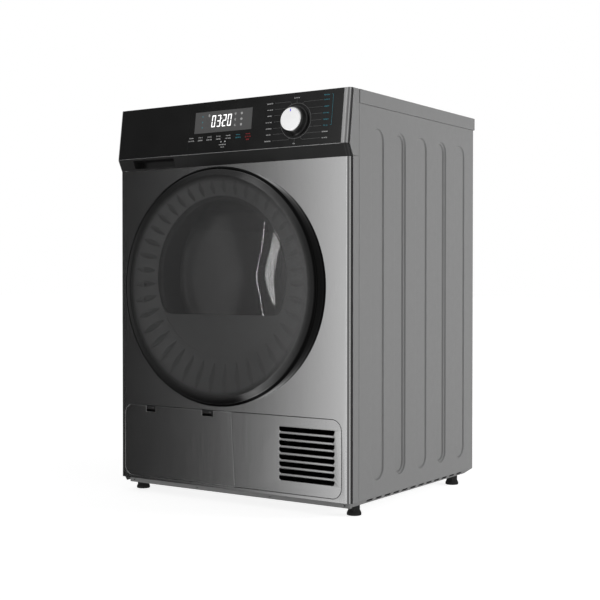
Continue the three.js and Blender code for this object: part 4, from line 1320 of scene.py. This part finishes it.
def display():
    window = Build()
    outline = rounded_rect(*DISPLAY_X, fascia_v(DISPLAY_Z[0]), fascia_v(DISPLAY_Z[1]), 0.6, 3)
    window.plate(outline, [], lambda u, v, d=0: on_fascia(u, v, d - 0.06), 0.05, 0.0, steps=1)
    window.piece("display_window", "cabinet", DISPLAY_GREY, (), "black_gloss", weighted=False)
    middle = sum(DISPLAY_Z) / 2 + 1
    figures = Print()
    for name, x in DIGITS:
        digit(figures, x, middle, name)
    for offset in (-5, 5):
        figures.bar(-13.6, -12.0, middle + offset - 0.9, middle + offset + 0.9)
    figures.done("display_figures", DIGIT_WHITE)
    icons = Print()
    for row, z in enumerate((814, 802, 790.5)):
        icons.ring(23, z, 1.5, 2.2, 40 * row, 40 * row + 280, 16)
        icons.ring(38.5, z, 1.6, 2.5, 0, 360, 12)
        icons.bar(22.6, 23.4, z - 2.6, z + 0.4)
        icons.bar(36.6, 40.4, z - 0.4, z + 0.4)
    icons.ring(-46, 815, 1.5, 2.2, 0, 360, 16)
    icons.bar(-46.4, -45.6, 812.5, 818)
    icons.done("display_icons", PRINT_WHITE_GLOWING)
    dots = Print()
    for z in (814, 802, 790.5):
        dots.bar(-64.2, -62.0, z - 1.2, z + 1.2)
    dots.done("display_dots", PRINT_TEAL)


def key_labels():
    white, teal, red = Print(), Print(), Print()
    columns = [(-89, white), (-65, white), (-41, white), (-17, white), (8, white), (34, teal), (59, red)]
    for i, (x, ink) in enumerate(columns):
        ink.words(x, 769.6, 13 - (i % 3), i)
        ink.words(x, 763.8, 15 - 2 * (i % 2), i + 3, 2.9)
    red.words(59, 758.2, 9, 2, 2.6)
    white.ring(-10, 757.3, 0.8, 1.5, 0, 360, 12)
    white.bar(-1, 1.6, 756, 758.6)
    white.words(-5, 751.2, 19, 4, 2.4)
    white.words(-5, 746.2, 10, 1, 2.4)
    white.done("key_words_white", PRINT_WHITE_GLOWING)
    teal.done("key_words_teal", PRINT_TEAL)
    red.done("key_words_red", PRINT_RED)


DIAL_RING = 36.0
RAY_WIDTH = 0.42
LEFT_ROWS = [827, 814, 801.5, 788.5, 775.5, 763, 750]
RIGHT_ROWS = [834, 824.5, 811, 798, 785, 773, 760.5, 748.5]
TEAL_ROWS = 6
DIAL_RING_Z = 787.0


def ray_reach(z, far):
    """How far out a row's ray starts: on the ring, or at far for rows above and below it."""
    rise = z - DIAL_RING_Z
    if abs(rise) < DIAL_RING - 6:
        return math.sqrt(max(0.0, DIAL_RING ** 2 - rise ** 2))
    return far


def dial_labels():
    white, teal, rays = Print(), Print(), Print()
    cx, cz = DIAL_X, DIAL_RING_Z
    rays.ring(cx, cz, DIAL_RING - 0.55, DIAL_RING + 0.25, 0, 360, 96)
    for i, z in enumerate(LEFT_ROWS):
        white.words(110, z, 17 - 3 * (i % 3), i, 2.5)
        reach = ray_reach(z, 14)
        start = (cx - reach - 1.5, z)
        rays.line((121, z), start, RAY_WIDTH)
        if reach == 14:
            side = 1 if z > cz else -1
            rays.line(start, (cx - 12, cz + side * (DIAL_RING - 2)), RAY_WIDTH)
    for i, z in enumerate(RIGHT_ROWS):
        ink = teal if i < TEAL_ROWS else white
        ink.words(246, z, 15 - 2 * (i % 3), i + 2, 2.5)
        if i == 0:
            continue
        reach = ray_reach(z, 16)
        start = (cx + reach + 1.5, z)
        rays.line(start, (236, z), RAY_WIDTH)
        if reach == 16:
            side = 1 if z > cz else -1
            rays.line((cx + 13, cz + side * (DIAL_RING - 3)), start, RAY_WIDTH)
    white.words(cx, 834, 14, 3, 2.5)
    white.words(cx, 741.5, 7, 1, 2.5)
    rays.line((cx, cz + DIAL_RING), (cx, 830.5), RAY_WIDTH)
    rays.line((cx, cz - DIAL_RING), (cx, 745), RAY_WIDTH)
    teal.line((256.5, 834), (259.5, 834), 0.4)
    teal.line((259.5, 834.2), (259.5, 773), 0.4)
    teal.line((256.5, 773), (259.5, 773), 0.4)
    white.done("dial_words_white", PRINT_WHITE_GLOWING)
    teal.done("dial_words_teal", PRINT_TEAL)
    rays.done("dial_rays", PRINT_GREY)


display()
key_labels()
dial_labels()

for node, (material, slot) in {
    "base_tray": (BASE_PAINT, "base_moulding"), "front_bulkhead": (BLACK_PLASTIC, "black_plastic"),
    "tank_housing": (GREY_PLASTIC, "grey_plastic"), "door_hinge_bracket": (ZINC, "zinc_plate"),
    "door_hinge_leaf": (ZINC, "zinc_plate"), "door_catch": (BLACK_PLASTIC, "black_plastic"),
    "rear_bearing": (ZINC, "zinc_plate"), "mains_inlet": (BLACK_PLASTIC, "black_plastic"),
    "heat_exchanger_cover": (GREY_PLASTIC, "grey_plastic"), "water_tank": (PALE_PLASTIC, "pale_plastic"),
    "lint_filter": (PALE_PLASTIC, "pale_plastic"), "cover_lever_left": (PALE_PLASTIC, "pale_plastic"),
    "cover_lever_right": (PALE_PLASTIC, "pale_plastic"),
}.items():
    refine(node, material, slot)

for node, material in {
    "control_board": BOARD_GREEN,
    "drive_belt": RUBBER,
    "motor": MOTOR_METAL, "blower_housing": GREY_PLASTIC, "evaporator": FIN_METAL, "condenser": FIN_METAL,
    "compressor": BLACK_PLASTIC, "condensate_pump": GREY_PLASTIC, "motor_pulley": MOTOR_METAL,
    "blower_impeller": GREY_PLASTIC, "idler_pulley": GREY_PLASTIC, "drum_roller_left": RUBBER,
    "drum_roller_right": RUBBER,
}.items():
    dress(node, material)
